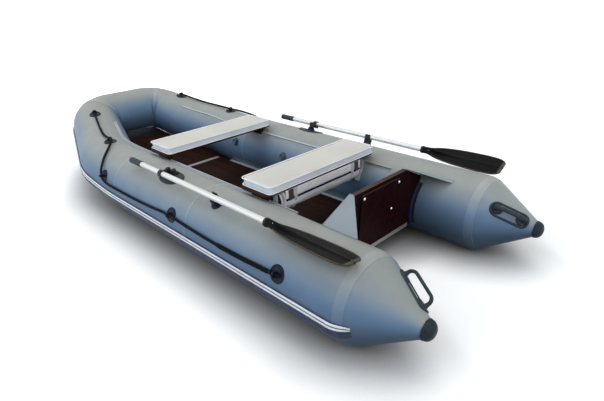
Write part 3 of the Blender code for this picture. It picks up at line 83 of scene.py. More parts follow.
LAMP_AWAY = 5
wide_lamp("sky_above", (-0.05, 0.22, 1), spread=40, strength=1.00, colour=(1.0, 0.985, 0.93))
wide_lamp("sky_port", (-0.50, -0.78, 0.55), spread=60, strength=1.50, colour=(0.90, 0.95, 1.0))
wide_lamp("sky_aft", (0.85, -0.25, 0.48), spread=60, strength=1.35, colour=(1.0, 0.98, 0.95))


def seen_directly(tree):
    """1 where the camera, a gloss or a clear piece looks, and 0 for the light that falls on the boat."""
    path = tree.nodes.new("ShaderNodeLightPath")
    share = path.outputs["Is Camera Ray"]
    for kind in ("Is Glossy Ray", "Is Transmission Ray"):
        either = tree.nodes.new("ShaderNodeMath")
        either.operation = "MAXIMUM"
        tree.links.new(share, either.inputs[0])
        tree.links.new(path.outputs[kind], either.inputs[1])
        share = either.outputs[0]
    return share


SKY_WHITE, SKY_BLUE, SKY_STRENGTH = (1, 1, 1, 1), (0.64, 0.80, 1.0, 1), 0.24
world = bpy.data.worlds.new("open_sky")
bpy.context.scene.world = world
world.use_nodes = True
sky = world.node_tree
sky.nodes.clear()
sky_out = sky.nodes.new("ShaderNodeOutputWorld")
sky_mix = sky.nodes.new("ShaderNodeMixShader")
sky_seen = sky.nodes.new("ShaderNodeBackground")
sky_seen.inputs["Color"].default_value = SKY_WHITE
sky_lit = sky.nodes.new("ShaderNodeBackground")
sky_lit.inputs["Color"].default_value = SKY_BLUE
sky_lit.inputs["Strength"].default_value = SKY_STRENGTH
for given, taken in (
        (seen_directly(sky), sky_mix.inputs[0]),
        (sky_lit.outputs[0], sky_mix.inputs[1]),
        (sky_seen.outputs[0], sky_mix.inputs[2]),
        (sky_mix.outputs[0], sky_out.inputs[0])):
    sky.links.new(given, taken)

# The sweep under the boat is a matt white sheet.  It glows where it is looked at, less close to the boat, and
# it throws only a little light back on the tubes.  Close round the boat an occlusion mask darkens its colour
# and its glow: a painted contact shadow.

FLOOR_RADIUS, FLOOR_SIDES, FLOOR_GAP = 40, 48, 0.0005
floor_mesh = bpy.data.meshes.new("white_floor")
floor_bm = bmesh.new()
bmesh.ops.create_circle(floor_bm, cap_ends=True, segments=FLOOR_SIDES, radius=FLOOR_RADIUS)
floor_bm.to_mesh(floor_mesh)
floor_bm.free()
white_floor = bpy.data.objects.new("white_floor", floor_mesh)
bpy.context.scene.collection.objects.link(white_floor)
white_floor.location.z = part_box("port_tube")[0].z - FLOOR_GAP

FLOOR_DULL, FLOOR_PALE = (0.075, 0.085, 0.10, 1), (0.90, 0.90, 0.90)
SHADOW_REACH, SHADOW_DEPTH = 0.26, 1.25
GLOW_NEAR, GLOW_FAR, GLOW_LEAST, GLOW_MOST = 1.6, 5.0, 0.30, 1.0
floor_paint = bpy.data.materials.new("white_floor")
floor_paint.use_nodes = True
ground = floor_paint.node_tree
ground.nodes.clear()
ground_out = ground.nodes.new("ShaderNodeOutputMaterial")
ground_mix = ground.nodes.new("ShaderNodeMixShader")
ground_dull = ground.nodes.new("ShaderNodeBsdfDiffuse")
ground_dull.inputs["Color"].default_value = FLOOR_DULL
ground_pale = ground.nodes.new("ShaderNodeBsdfDiffuse")
ground_white = ground.nodes.new("ShaderNodeEmission")
ground_both = ground.nodes.new("ShaderNodeAddShader")
# painted shadow: occlusion darkens the floor's colour and glow close to the boat
painted_shadow_occlusion = ground.nodes.new("ShaderNodeAmbientOcclusion")
painted_shadow_occlusion.inputs["Distance"].default_value = SHADOW_REACH
painted_shadow_falloff = ground.nodes.new("ShaderNodeMath")
painted_shadow_falloff.operation = "POWER"
painted_shadow_falloff.inputs[1].default_value = SHADOW_DEPTH
glow_with_painted_shadow = ground.nodes.new("ShaderNodeMath")
glow_with_painted_shadow.operation = "MULTIPLY"
ground_tint = ground.nodes.new("ShaderNodeVectorMath")
ground_tint.operation = "SCALE"
ground_tint.inputs[0].default_value = FLOOR_PALE
ground_place = ground.nodes.new("ShaderNodeNewGeometry")
ground_far = ground.nodes.new("ShaderNodeVectorMath")
ground_far.operation = "LENGTH"
ground_rise = ground.nodes.new("ShaderNodeMapRange")
ground_rise.interpolation_type = "SMOOTHSTEP"
ground_rise.inputs["From Min"].default_value = GLOW_NEAR
ground_rise.inputs["From Max"].default_value = GLOW_FAR
ground_rise.inputs["To Min"].default_value = GLOW_LEAST
ground_rise.inputs["To Max"].default_value = GLOW_MOST
for given, taken in (
        (ground_place.outputs["Position"], ground_far.inputs[0]),
        (ground_far.outputs["Value"], ground_rise.inputs["Value"]),
        (painted_shadow_occlusion.outputs["AO"], painted_shadow_falloff.inputs[0]),
        (painted_shadow_falloff.outputs[0], ground_tint.inputs["Scale"]),
        (ground_tint.outputs["Vector"], ground_pale.inputs["Color"]),
        (painted_shadow_falloff.outputs[0], glow_with_painted_shadow.inputs[0]),
        (ground_rise.outputs["Result"], glow_with_painted_shadow.inputs[1]),
        (glow_with_painted_shadow.outputs[0], ground_white.inputs["Strength"]),
        (ground_pale.outputs[0], ground_both.inputs[0]),
        (ground_white.outputs[0], ground_both.inputs[1]),
        (seen_directly(ground), ground_mix.inputs[0]),
        (ground_dull.outputs[0], ground_mix.inputs[1]),
        (ground_both.outputs[0], ground_mix.inputs[2]),
        (ground_mix.outputs[0], ground_out.inputs[0])):
    ground.links.new(given, taken)
floor_mesh.materials.append(floor_paint)

# The hull is two side tubes that end in cones, and a bow tube between them, all of grey
# PVC-coated polyester welded along its joints and blown up tight.  The fabric puckers a
# little beside the joints, and it folds where it is squeezed at the inner bow corners.

FULL_TURN = 2 * math.pi
TUBE_RADIUS, TUBE_SIDE = 0.200, 0.497
TUBE_FLATS = 36  # the side tube is a ring of flats, and rests on one of them
TUBE_LEVEL = TUBE_RADIUS * math.cos(math.pi / TUBE_FLATS)
STERN_SEAM, CONE_END, CONE_END_RADIUS, SEAM_EASE = 1.418, 1.680, 0.036, 0.040
BOW_LINE, BOW_CORNER, BOW_CORNER_BEND = -1.523, 0.275, 0.186
BOW_LIFT, BOW_RADIUS = 0.185, 0.170
LIFT_START = BOW_LINE + 1.115
SHOULDER, SHOULDER_BEND = BOW_LINE + 0.690, 0.700
SIDES = (("port", False), ("starboard", True))


def coated(name, colour, roughness, metallic=0.0, **more):
    """A Principled material with its even values set on the shader's own sockets."""
    made = bpy.data.materials.new(name)
    made.use_nodes = True
    shader = made.node_tree.nodes["Principled BSDF"]
    shader.inputs["Base Color"].default_value = (*colour, 1)
    shader.inputs["Roughness"].default_value = roughness
    shader.inputs["Metallic"].default_value = metallic
    for socket, value in more.items():
        shader.inputs[socket.replace("_", " ")].default_value = value
    return made


def grain(made, scale, detail, stretch=(1, 1, 1), wave=False):
    """A texture socket laid over the piece in the boat's own coordinates."""
    tree = made.node_tree
    place = tree.nodes.new("ShaderNodeTexCoord")
    spread = tree.nodes.new("ShaderNodeMapping")
    spread.inputs["Scale"].default_value = stretch
    tree.links.new(place.outputs["Object"], spread.inputs["Vector"])
    if wave:
        texture = tree.nodes.new("ShaderNodeTexWave")
        texture.inputs["Distortion"].default_value = detail
        texture.inputs["Detail"].default_value = 2
    else:
        texture = tree.nodes.new("ShaderNodeTexNoise")
        texture.inputs["Detail"].default_value = detail
    texture.inputs["Scale"].default_value = scale
    tree.links.new(spread.outputs["Vector"], texture.inputs["Vector"])
    return texture.outputs["Fac"]


def shaded(made, share, stops, socket="Base Color"):
    """Colour or roughness that runs through stops with a texture."""
    tree = made.node_tree
    ramp = tree.nodes.new("ShaderNodeValToRGB")
    while len(ramp.color_ramp.elements) < len(stops):
        ramp.color_ramp.elements.new(0.5)
    for element, (at, value) in zip(ramp.color_ramp.elements, stops):
        element.position = at
        element.color = (*value, 1) if isinstance(value, tuple) else (value, value, value, 1)
    tree.links.new(share, ramp.inputs["Fac"])
    if socket:
        tree.links.new(ramp.outputs["Color"], tree.nodes["Principled BSDF"].inputs[socket])
    return ramp.outputs["Color"]


def embossed(made, height, distance, strength):
    """Relief added over what the material already has."""
    tree = made.node_tree
    bump = tree.nodes.new("ShaderNodeBump")
    bump.inputs["Distance"].default_value = distance
    bump.inputs["Strength"].default_value = strength
    tree.links.new(height, bump.inputs["Height"])
    target = tree.nodes["Principled BSDF"].inputs["Normal"]
    if target.is_linked:
        tree.links.new(target.links[0].from_socket, bump.inputs["Normal"])
    tree.links.new(bump.outputs["Normal"], target)


def blended(made, share, first, second):
    """A mix of two colour sockets or colours, by a share socket."""
    tree = made.node_tree
    mix = tree.nodes.new("ShaderNodeMix")
    mix.data_type = "RGBA"
    tree.links.new(share, mix.inputs["Factor"])
    for socket, value in zip(("A", "B"), (first, second)):
        into = [s for s in mix.inputs if s.name == socket and s.type == "RGBA"][0]
        if isinstance(value, tuple):
            into.default_value = (*value, 1)
        else:
            tree.links.new(value, into)
    return [s for s in mix.outputs if s.type == "RGBA"][0]


def coloured(made, colours):
    """Takes the colour of a piece from a socket."""
    tree = made.node_tree
    tree.links.new(colours, tree.nodes["Principled BSDF"].inputs["Base Color"])


def toned(colour, share):
    """A colour made darker or paler, at most white."""
    return tuple(min(c * share, 1) for c in colour)


def facing_up(made, low, high):
    """0 on a wall and 1 on a top: how far the surface looks up."""
    tree = made.node_tree
    geometry = tree.nodes.new("ShaderNodeNewGeometry")
    parts = tree.nodes.new("ShaderNodeSeparateXYZ")
    spread = tree.nodes.new("ShaderNodeMapRange")
    spread.interpolation_type = "SMOOTHSTEP"
    spread.inputs["From Min"].default_value = low
    spread.inputs["From Max"].default_value = high
    tree.links.new(geometry.outputs["Normal"], parts.inputs["Vector"])
    tree.links.new(parts.outputs["Z"], spread.inputs["Value"])
    return spread.outputs["Result"]


def pvc_fabric(name, wall, top):
    """Coated fabric: slate blue on its walls, painted darker underneath as painted shade, and painted paler
    and warmer on its tops as painted top light.
    """
    made = coated(name, wall, 0.42, Specular_IOR_Level=0.20)
    wall_tones = [(0.3, toned(wall, 0.93)), (0.7, toned(wall, 1.06))]
    lit_top_tones = [(0.3, toned(top, 0.94)), (0.72, toned(top, 1.05))]
    walls = shaded(made, grain(made, 7, 5), wall_tones, None)
    tops = shaded(made, grain(made, 11, 6), lit_top_tones, None)
    # painted shade: faces that look down are darkened towards half the wall colour
    shaded_flanks = blended(made, facing_up(made, -0.50, 0.42), toned(wall, 0.52), walls)
    # painted top light: faces that look up take the paler, warmer top colour
    coloured(made, blended(made, facing_up(made, 0.24, 0.98), shaded_flanks, tops))
    shaded(made, grain(made, 5, 4), [(0.25, 0.36), (0.75, 0.50)], "Roughness")
    embossed(made, grain(made, 420, 0.4, wave=True), 0.0002, 0.25)
    embossed(made, grain(made, 420, 0.4, (0.15, 1, 3), wave=True), 0.0002, 0.25)
    embossed(made, grain(made, 3.5, 3), 0.008, 0.30)
    embossed(made, grain(made, 9, 4), 0.002, 0.30)
    return made


PVC = pvc_fabric("grey_pvc", (0.146, 0.238, 0.364), (0.335, 0.348, 0.326))
# The tape's fabric is painted paler than the tubes': painted highlight.
HIGHLIT_PVC_TAPE = pvc_fabric("highlit_grey_pvc_tape", (0.188, 0.276, 0.392), (0.382, 0.396, 0.376))


def piece(name, mesh, finish, body="hull", stands_for=(), smooth=40):
    """A finished piece that moves with a body of the boat."""
    made = bpy.data.objects.new(name, mesh)
    bpy.context.scene.collection.objects.link(made)
    for one in finish if isinstance(finish, (list, tuple)) else [finish]:
        mesh.materials.append(one)
    mesh.shade_smooth()
    mesh.set_sharp_from_angle(angle=math.radians(smooth))
    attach(made, body)
    if stands_for:
        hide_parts(*stands_for)
    return made


def lofted(name, rings, round_trip=False):
    """A skin through closed rings of points, with closed ends unless it comes round to its start."""
    bm = bmesh.new()
    rows = [[bm.verts.new(point) for point in ring] for ring in rings]
    count = len(rows[0])
    for near, far in zip(rows, rows[1:] + rows[:1] if round_trip else rows[1:]):
        for i in range(count):
            j = (i + 1) % count
            bm.faces.new((near[i], near[j], far[j], far[i]))
    if not round_trip:
        bm.faces.new(rows[0][::-1])
        bm.faces.new(rows[-1])
    bmesh.ops.recalc_face_normals(bm, faces=bm.faces)
    mesh = bpy.data.meshes.new(name)
    bm.to_mesh(mesh)
    bm.free()
    return mesh


class Section:
    """A slice of the port tube: its centre, its directions and its radius."""

    def __init__(self, centre, along, radius):
        self.centre, self.radius = centre, radius
        self.along = along.normalized()
        self.out = Vector((-self.along.y, self.along.x, 0)).normalized()
        self.up = self.along.cross(self.out).normalized()

    def direction(self, angle):
        turned = math.radians(angle)
        return self.out * math.sin(turned) + self.up * math.cos(turned)

    def point(self, angle, height=0.0):
        return self.centre + self.direction(angle) * (self.radius + height)


def eased(x):
    """How far the tube's wall pulls in where it bends into the cone."""
    slope = (TUBE_RADIUS - CONE_END_RADIUS) / (CONE_END - STERN_SEAM)
    return slope * max(SEAM_EASE - abs(x - STERN_SEAM), 0) ** 2 / (4 * SEAM_EASE)


def lift_share(x):
    """How far along its rise to the bow the tube is at a place."""
    return min(max((LIFT_START - x) / (LIFT_START - BOW_LINE), 0), 1)


def arc(before, corner, after, radius, steps):
    """A round bend that takes the place of a corner between two straight runs."""
    before, corner, after = Vector(before), Vector(corner), Vector(after)
    into, out_of = (before - corner).normalized(), (after - corner).normalized()
    half = into.angle(out_of) / 2
    middle = corner + (into + out_of).normalized() * (radius / math.sin(half))
    start = corner + into * (radius / math.tan(half)) - middle
    end = corner + out_of * (radius / math.tan(half)) - middle
    sweep = start.angle_signed(end)
    return [middle + Matrix.Rotation(-sweep * k / steps, 2) @ start for k in range(steps + 1)]


SHOULDER_STEPS, CORNER_STEPS, SIDE_STEPS, CHEEK_STEPS, NOSE_STEPS = 12, 24, 60, 12, 6
SEAM_STEPS, SEAM_STEP = 8, 0.005


def centre_line():
    """The port half of the tube's centre line, from the stern seam to the middle of the bow."""
    stern, bend = (STERN_SEAM, -TUBE_SIDE), (SHOULDER, -TUBE_SIDE)
    corner, nose = (BOW_LINE, -BOW_CORNER), (BOW_LINE, 0)
    bend_arc = arc(stern, bend, corner, SHOULDER_BEND, SHOULDER_STEPS)
    corner_arc = arc(bend, corner, nose, BOW_CORNER_BEND, CORNER_STEPS)
    aft = [Vector((STERN_SEAM - SEAM_STEP * k, -TUBE_SIDE)) for k in range(SEAM_STEPS + 1)]
    start = aft[-1]
    for k in range(1, SIDE_STEPS):
        aft.append(Vector((start.x + (bend_arc[0].x - start.x) * k / SIDE_STEPS, -TUBE_SIDE)))
    cheek = [bend_arc[-1].lerp(corner_arc[0], k / CHEEK_STEPS) for k in range(1, CHEEK_STEPS)]
    before_corner = aft + bend_arc + cheek
    line = before_corner + corner_arc
    line += [corner_arc[-1].lerp(Vector(nose), k / NOSE_STEPS) for k in range(1, NOSE_STEPS + 1)]
    return line, len(before_corner) + CORNER_STEPS // 2


plan, seam_at = centre_line()
centres = [Vector((p.x, p.y, TUBE_LEVEL + BOW_LIFT * lift_share(p.x) ** 2)) for p in plan]
hull = []
for i, centre in enumerate(centres):
    ahead_of, behind = centres[min(i + 1, len(centres) - 1)], centres[max(i - 1, 0)]
    along = Vector((0, 1, 0)) if i == len(centres) - 1 else ahead_of - behind
    radius = TUBE_RADIUS + (BOW_RADIUS - TUBE_RADIUS) * lift_share(centre.x) - eased(centre.x)
    hull.append(Section(centre, along, radius))


def section_at(x):
    """The section of the side tube at a place along the boat, its cone included."""
    if x >= STERN_SEAM:
        share = (x - STERN_SEAM) / (CONE_END - STERN_SEAM)
        radius = TUBE_RADIUS + (CONE_END_RADIUS - TUBE_RADIUS) * share
        return Section(Vector((x, -TUBE_SIDE, TUBE_LEVEL)), Vector((-1, 0, 0)), radius - eased(x))
    for aft, fore in zip(hull, hull[1:]):
        if fore.centre.x <= x:
            share = (aft.centre.x - x) / (aft.centre.x - fore.centre.x)
            return Section(
                aft.centre.lerp(fore.centre, share), aft.along.lerp(fore.along, share),
                aft.radius + (fore.radius - aft.radius) * share,
            )
    return hull[-1]


def other_side(points):
    return [Vector((p.x, -p.y, p.z)) for p in points]


AROUND = 144
TUBE_ANGLES = [360 * k / AROUND for k in range(AROUND)]
FABRIC_UNDER, FABRIC_MOST = 0.0003, 0.0002
PUCKER_REACH, SEAM_PUCKER, CONE_PUCKER = 0.045, 0.0008, 0.0010
SEAM_DIP, SEAM_DIP_REACH = 0.0012, 0.02
FOLD_DEPTH, FOLD_ROWS = 0.0045, 16
CONE_STEPS = 40


def puckers(angle, distance, depth):
    """Small pleats round the tube that fade away from a welded joint."""
    fade = math.exp(-distance / PUCKER_REACH)
    wander = noise.noise(Vector((angle * 0.07, distance * 9, depth * 1000)))
    return depth * fade * (0.6 * math.sin(math.radians(angle * 17)) + 1.4 * wander)


def tube_ring(section, to_seam, to_cone):
    """The fabric round the tube at a slice, drawn in a little by the joints on either side."""
    ring = []
    for angle in TUBE_ANGLES:
        height = -FABRIC_UNDER + puckers(angle, to_seam, SEAM_PUCKER) + puckers(angle, to_cone, CONE_PUCKER)
        height -= SEAM_DIP * math.exp(-to_seam / SEAM_DIP_REACH)
        ring.append(section.point(angle, min(height, FABRIC_MOST)))
    return ring


def inner_folds(turned, angle, depth):
    """The soft folds where the fabric is squeezed on the inside of the bow corner."""
    inside = max(0.0, math.cos(math.radians(angle + 90))) ** 3
    wave = 0.5 + 0.5 * math.cos(turned * 2.4)
    return -depth * inside * wave * (1 + 0.5 * noise.noise(Vector((angle * 0.05, turned, 0))))


def walls(first, last, flip=False):
    """The rings of fabric between two slices of the hull."""
    rings = []
    seam = centres[seam_at]
    for i in range(first, last + 1):
        section = hull[i]
        to_seam = (section.centre - seam).length
        to_cone = STERN_SEAM - section.centre.x
        ring = tube_ring(section, to_seam, to_cone)
        if abs(i - seam_at) <= FOLD_ROWS:
            for k, angle in enumerate(TUBE_ANGLES):
                fold = inner_folds(i - seam_at, angle, FOLD_DEPTH)
                ring[k] = ring[k] + section.direction(angle) * fold
        rings.append(other_side(ring) if flip else ring)
    return rings


def cone_rings(flip=False):
    """The rings of fabric of the stern cone, from its blunt end to the seam."""
    rings = []
    for step in range(CONE_STEPS, 0, -1):
        x = STERN_SEAM + (CONE_END - STERN_SEAM) * step / CONE_STEPS
        section = section_at(x)
        ring = []
        for angle in TUBE_ANGLES:
            height = puckers(angle, x - STERN_SEAM, CONE_PUCKER) * section.radius / TUBE_RADIUS
            ring.append(section.point(angle, min(height - FABRIC_UNDER, FABRIC_MOST)))
        rings.append(other_side(ring) if flip else ring)
    return rings


for side, flip in SIDES:
    skin = lofted(side + "_side_tube", cone_rings(flip) + walls(0, seam_at, flip))
    piece(side + "_side_tube", skin, PVC, stands_for=(side + "_tube",))
bow_half = walls(seam_at, len(hull) - 1)
bow_skin = lofted("bow_cross_tube", bow_half + [other_side(ring) for ring in bow_half[-2::-1]])
piece("bow_cross_tube", bow_skin, PVC, stands_for=("bow_tube",))

# Welded tapes of the same fabric cover the joints round the tubes: where the cones begin, at the bow corners,
# and over two plain lap seams in each side.  The tapes are painted paler than the tubes: a painted highlight
# for the light their raised edges catch.

TAPE_FOOT, TAPE_UNDER = 0.0002, 0.002
CONE_TAPE = (  # place from the seam, and share of the thickness
    (0.021, 0), (0.0205, 1), (0.012, 1), (0.004, 1), (0, 1.2), (-0.008, 1), (-0.022, 1), (-0.0225, 0),
)
BOW_TAPE = ((-2, 0), (-1, 1), (0, 1.2), (1, 1), (2, 0))
LAP = ((0.0005, 0), (0, 1), (-0.0175, 1), (-0.018, 0))


def tape(name, sections, thickness):
    """A welded fabric tape round the tube, through sections given with a height share each."""
    rings = []
    for section, share in sections:
        rings.append([section.point(angle, TAPE_FOOT + thickness * share) for angle in TUBE_ANGLES])
    for section, share in sections[::-1]:
        rings.append([section.point(angle, -TAPE_UNDER) for angle in TUBE_ANGLES])
    for side, flip in SIDES:
        made = [other_side(ring) if flip else ring for ring in rings]
        piece(side + "_" + name, lofted(side + "_" + name, made, round_trip=True), HIGHLIT_PVC_TAPE)


tape("cone_seam_tape", [(section_at(STERN_SEAM + d), share) for d, share in CONE_TAPE], 0.0009)
tape("bow_seam_tape", [(hull[seam_at + k], share) for k, share in BOW_TAPE], 0.0012)
for count, x in enumerate((0.42, -0.36)):
    tape(f"side_seam_{count}", [(section_at(x + d), share) for d, share in LAP], 0.0006)

# Moulded rubber caps are glued over the blunt ends of the cones, to take the knocks when
# the boat is stood on its stern.


def moulded_rubber(name, colour, roughness):
    """Moulded rubber: cloudy, a little shinier in places, with fine pores."""
    made = coated(name, colour, roughness, Specular_IOR_Level=0.13)
    shaded(made, grain(made, 30, 4), [(0.3, toned(colour, 0.75)), (0.7, toned(colour, 1.3))])
    shaded(made, grain(made, 14, 3), [(0.3, roughness - 0.08), (0.7, roughness + 0.1)], "Roughness")
    embossed(made, grain(made, 700, 2), 0.0003, 0.3)
    return made


CAP_RUBBER = moulded_rubber("cap_rubber", (0.018, 0.026, 0.032), 0.46)
BLACK_RUBBER = moulded_rubber("black_rubber", (0.007, 0.010, 0.022), 0.46)


def turned_rings(profile, steps):
    """Rings round Z through (radius, height) points."""
    turns = [FULL_TURN * k / steps for k in range(steps)]
    return [[Vector((r * math.cos(turned), r * math.sin(turned), z)) for turned in turns] for r, z in profile]


def turned_solid(name, profile, steps):
    return lofted(name, turned_rings(profile, steps))


def on_side(mesh, flip):
    """A port mesh as it is, or mirrored to starboard."""
    if flip:
        mesh.transform(Matrix.Scale(-1, 4, (0, 1, 0)))
        mesh.flip_normals()
    return mesh


def placed(mesh, origin, along, normal, flip=False):
    """Puts a mesh drawn about Z at a place, X along and Z on the normal, and flips it to its side."""
    normal = normal.normalized()
    along = (along - normal * along.dot(normal)).normalized()
    turn_to = Matrix((along, normal.cross(along), normal)).transposed().to_4x4()
    mesh.transform(Matrix.Translation(origin) @ turn_to)
    return on_side(mesh, flip)


CAP_LIP = ((0.0030, 0.0), (0.0, 0.0012), (0.0, 0.0032), (0.0014, 0.0046))
CAP_DOME_IN, CAP_DOME_UP, CAP_DOME_STEPS, CAP_POINT = 0.0015, 0.0050, 12, 0.0004
for side, flip in SIDES:
    low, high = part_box(side + "_cone_cap")
    length, wide = high.x - low.x, (high.z - low.z) / 2
    profile = [(wide - inset, height) for inset, height in CAP_LIP]
    for k in range(1, CAP_DOME_STEPS + 1):
        turned = math.radians(90 * k / CAP_DOME_STEPS)
        radius = max((wide - CAP_DOME_IN) * math.cos(turned) ** 0.85, CAP_POINT)
        profile.append((radius, CAP_DOME_UP + (length - CAP_DOME_UP) * math.sin(turned)))
    cap = turned_solid(side + "_rubber_cap", profile, 56)
    place = Vector((low.x, -TUBE_SIDE, TUBE_LEVEL))
    placed(cap, place, Vector((0, 0, 1)), Vector((1, 0, 0)), flip)
    piece(side + "_rubber_cap", cap, CAP_RUBBER, stands_for=(side + "_cone_cap",))

# A moulded rubbing strake runs round the whole hull at half height.  It is dark grey rubber with two raised
# ribs, whose crests carry thin white lines: pale stripes with the crests' highlight painted into them.

STRAKE_DARK = moulded_rubber("strake_rubber", (0.050, 0.062, 0.110), 0.30)
STRAKE_CREST_STRIPE_HIGHLIGHT = coated("strake_crest_stripe_highlight", (0.86, 0.87, 0.90), 0.40)
shaded(STRAKE_CREST_STRIPE_HIGHLIGHT, grain(STRAKE_CREST_STRIPE_HIGHLIGHT, 30, 4), [(0.3, (0.80, 0.81, 0.85)), (0.7, (0.90, 0.91, 0.93))])
embossed(STRAKE_CREST_STRIPE_HIGHLIGHT, grain(STRAKE_CREST_STRIPE_HIGHLIGHT, 700, 2), 0.0003, 0.3)
STRAKE_HALF, STRAKE_PROUD, STRAKE_ANGLE, STRAKE_FOOT = 0.038, 0.017, 101, 0.0002
STRAKE_END, STRAKE_END_STEPS = 0.046, 15
STRAKE_PROFILE = (  # share of the half width, share of the height, and 1 on a white line
    (-1.00, 0.00, 0), (-0.985, 0.22, 0), (-0.955, 0.35, 0), (-0.930, 0.42, 1), (-0.90, 0.50, 1),
    (-0.81, 0.62, 1), (-0.73, 0.67, 1), (-0.71, 0.65, 0), (-0.68, 0.60, 0), (-0.64, 0.62, 0),
    (-0.61, 0.71, 1), (-0.53, 0.80, 1), (-0.43, 0.87, 1), (-0.40, 0.87, 0), (-0.37, 0.82, 0),
    (-0.30, 0.86, 0), (-0.15, 0.95, 0), (0.00, 1.0, 0), (0.15, 1.0, 0), (0.33, 0.95, 0), (0.50, 0.87, 0),
    (0.65, 0.75, 0), (0.78, 0.60, 0), (0.89, 0.42, 0), (0.96, 0.22, 0), (1.00, 0.00, 0),
)


def strake_ring(section, full=1.0):
    """The strake's outline on a slice of the tube; it thins out towards its ends."""
    ring = []
    for across, proud, _ in STRAKE_PROFILE:
        angle = STRAKE_ANGLE + math.degrees(STRAKE_HALF * across * (0.6 + 0.4 * full) / section.radius)
        ring.append(section.point(angle, STRAKE_FOOT + STRAKE_PROUD * proud * full))
    return ring


port_strake = []
for k in range(STRAKE_END_STEPS):
    share = 1 - k / STRAKE_END_STEPS
    port_strake.append(strake_ring(section_at(STERN_SEAM + STRAKE_END * share), 1 - 0.85 * share ** 2.5))
port_strake += [strake_ring(section) for section in hull[:-1]]
starboard_strake = [other_side(ring) for ring in port_strake[::-1]]
strake_mesh = lofted("rubbing_strake", port_strake + [strake_ring(hull[-1])] + starboard_strake)
# faces on the rib crests take the white: pale stripes with a painted highlight
for index, face in enumerate(strake_mesh.polygons[:-2]):
    face.material_index = STRAKE_PROFILE[index % len(STRAKE_PROFILE)][2]
piece("rubbing_strake", strake_mesh, [STRAKE_DARK, STRAKE_CREST_STRIPE_HIGHLIGHT], stands_for=("rub_strake",),
      smooth=50)

# The seat rails are bolt-rope strips of light PVC, welded inside each tube's top: a flat base with a round
# bead standing on it, which the shoes of the seats hook over.  Fore of RAIL_END_FROM the rail is painted
# paler, a painted highlight along the bead; aft of it the rail is painted in the tubes' top tone all round,
# painted top light that lets it merge into the top.

RAIL_ANGLE, RAIL_AFT, RAIL_FORE, RAIL_END_FROM = -38, 0.900, -1.180, 0.74
RAIL_BASE, RAIL_NECK, RAIL_BEAD, RAIL_BEAD_UP = 0.013, 0.0017, 0.004, 0.008
RAIL_BEAD_SWEEP, RAIL_BEAD_STEPS = 312, 12
RAIL_FOOT = ((-RAIL_BASE, -0.001), (-RAIL_BASE, 0.0012), (-RAIL_BASE * 0.85, 0.0019), (-RAIL_NECK, 0.0021))
rail_shape = list(RAIL_FOOT)
for k in range(RAIL_BEAD_STEPS + 1):
    turned = math.radians(RAIL_BEAD_SWEEP * (k / RAIL_BEAD_STEPS - 0.5))
    rail_shape.append((RAIL_BEAD * math.sin(turned), RAIL_BEAD_UP + RAIL_BEAD * math.cos(turned)))
rail_shape += [(-across, up) for across, up in RAIL_FOOT[::-1]]
rail_run = [section for section in hull if RAIL_FORE < section.centre.x < RAIL_AFT]
rail_route = [section_at(RAIL_AFT)] + rail_run + [section_at(RAIL_FORE)]
# painted light: the fore rail paler as a painted highlight, the aft rail in the tubes' painted top tone
HIGHLIT_RAIL_PVC = pvc_fabric("highlit_rail_pvc", (0.32, 0.40, 0.50), (0.50, 0.52, 0.52))
TOP_TONED_RAIL_END_PVC = pvc_fabric("top_toned_rail_end_pvc", (0.26, 0.28, 0.29), (0.335, 0.350, 0.335))
for side, flip in SIDES:
    rings = [[s.point(RAIL_ANGLE + math.degrees(u / s.radius), h) for u, h in rail_shape] for s in rail_route]
    rail = lofted(side + "_bolt_rope_rail", [other_side(ring) for ring in rings] if flip else rings)
    for index, face in enumerate(rail.polygons[:-2]):
        face.material_index = 1 if rail_route[index // len(rail_shape)].centre.x > RAIL_END_FROM else 0
    piece(side + "_bolt_rope_rail", rail, [HIGHLIT_RAIL_PVC, TOP_TONED_RAIL_END_PVC], stands_for=(side + "_seat_rail",))

# The bottom is one sheet of the same coated fabric, pulled over the inflated keel tube and glued low on both
# side tubes, with its aft end turned up to the transom.  It is painted near black, painted shade for the dark
# under the floor.

SKIN_ANGLE, SKIN_AFT_ANGLE, SKIN_HEIGHT = -150, -116, 0.0014
SKIN_AFT, SKIN_TURN_UP, SKIN_TURN_STEPS = 1.055, 0.09, 6
SKIN_DIP, SKIN_DIP_START, SKIN_STEPS, SKIN_THICK = 0.018, 0.080, 16, 0.0011


def skin_row(edge, dip):
    """A row across the bottom, from its glued edge on port to starboard, lowest in the middle."""
    row = []
    for k in range(SKIN_STEPS + 1):
        share = 2 * k / SKIN_STEPS - 1
        row.append(Vector((edge.x, -edge.y * share, edge.z - dip * (1 - abs(share)))))
    return row


def gridded(name, rows):
    """A sheet through rows of points."""
    bm = bmesh.new()
    grid = [[bm.verts.new(point) for point in row] for row in rows]
    for near, far in zip(grid, grid[1:]):
        for i in range(len(near) - 1):
            bm.faces.new((near[i], near[i + 1], far[i + 1], far[i]))
    bmesh.ops.recalc_face_normals(bm, faces=bm.faces)
    mesh = bpy.data.meshes.new(name)
    bm.to_mesh(mesh)
    bm.free()
    return mesh


def thickened(made, thickness):
    """Gives a sheet the thickness of its fabric, half on each side."""
    solid = made.modifiers.new("fabric_thickness", "SOLIDIFY")
    solid.thickness = thickness
    solid.offset = 0
    return made


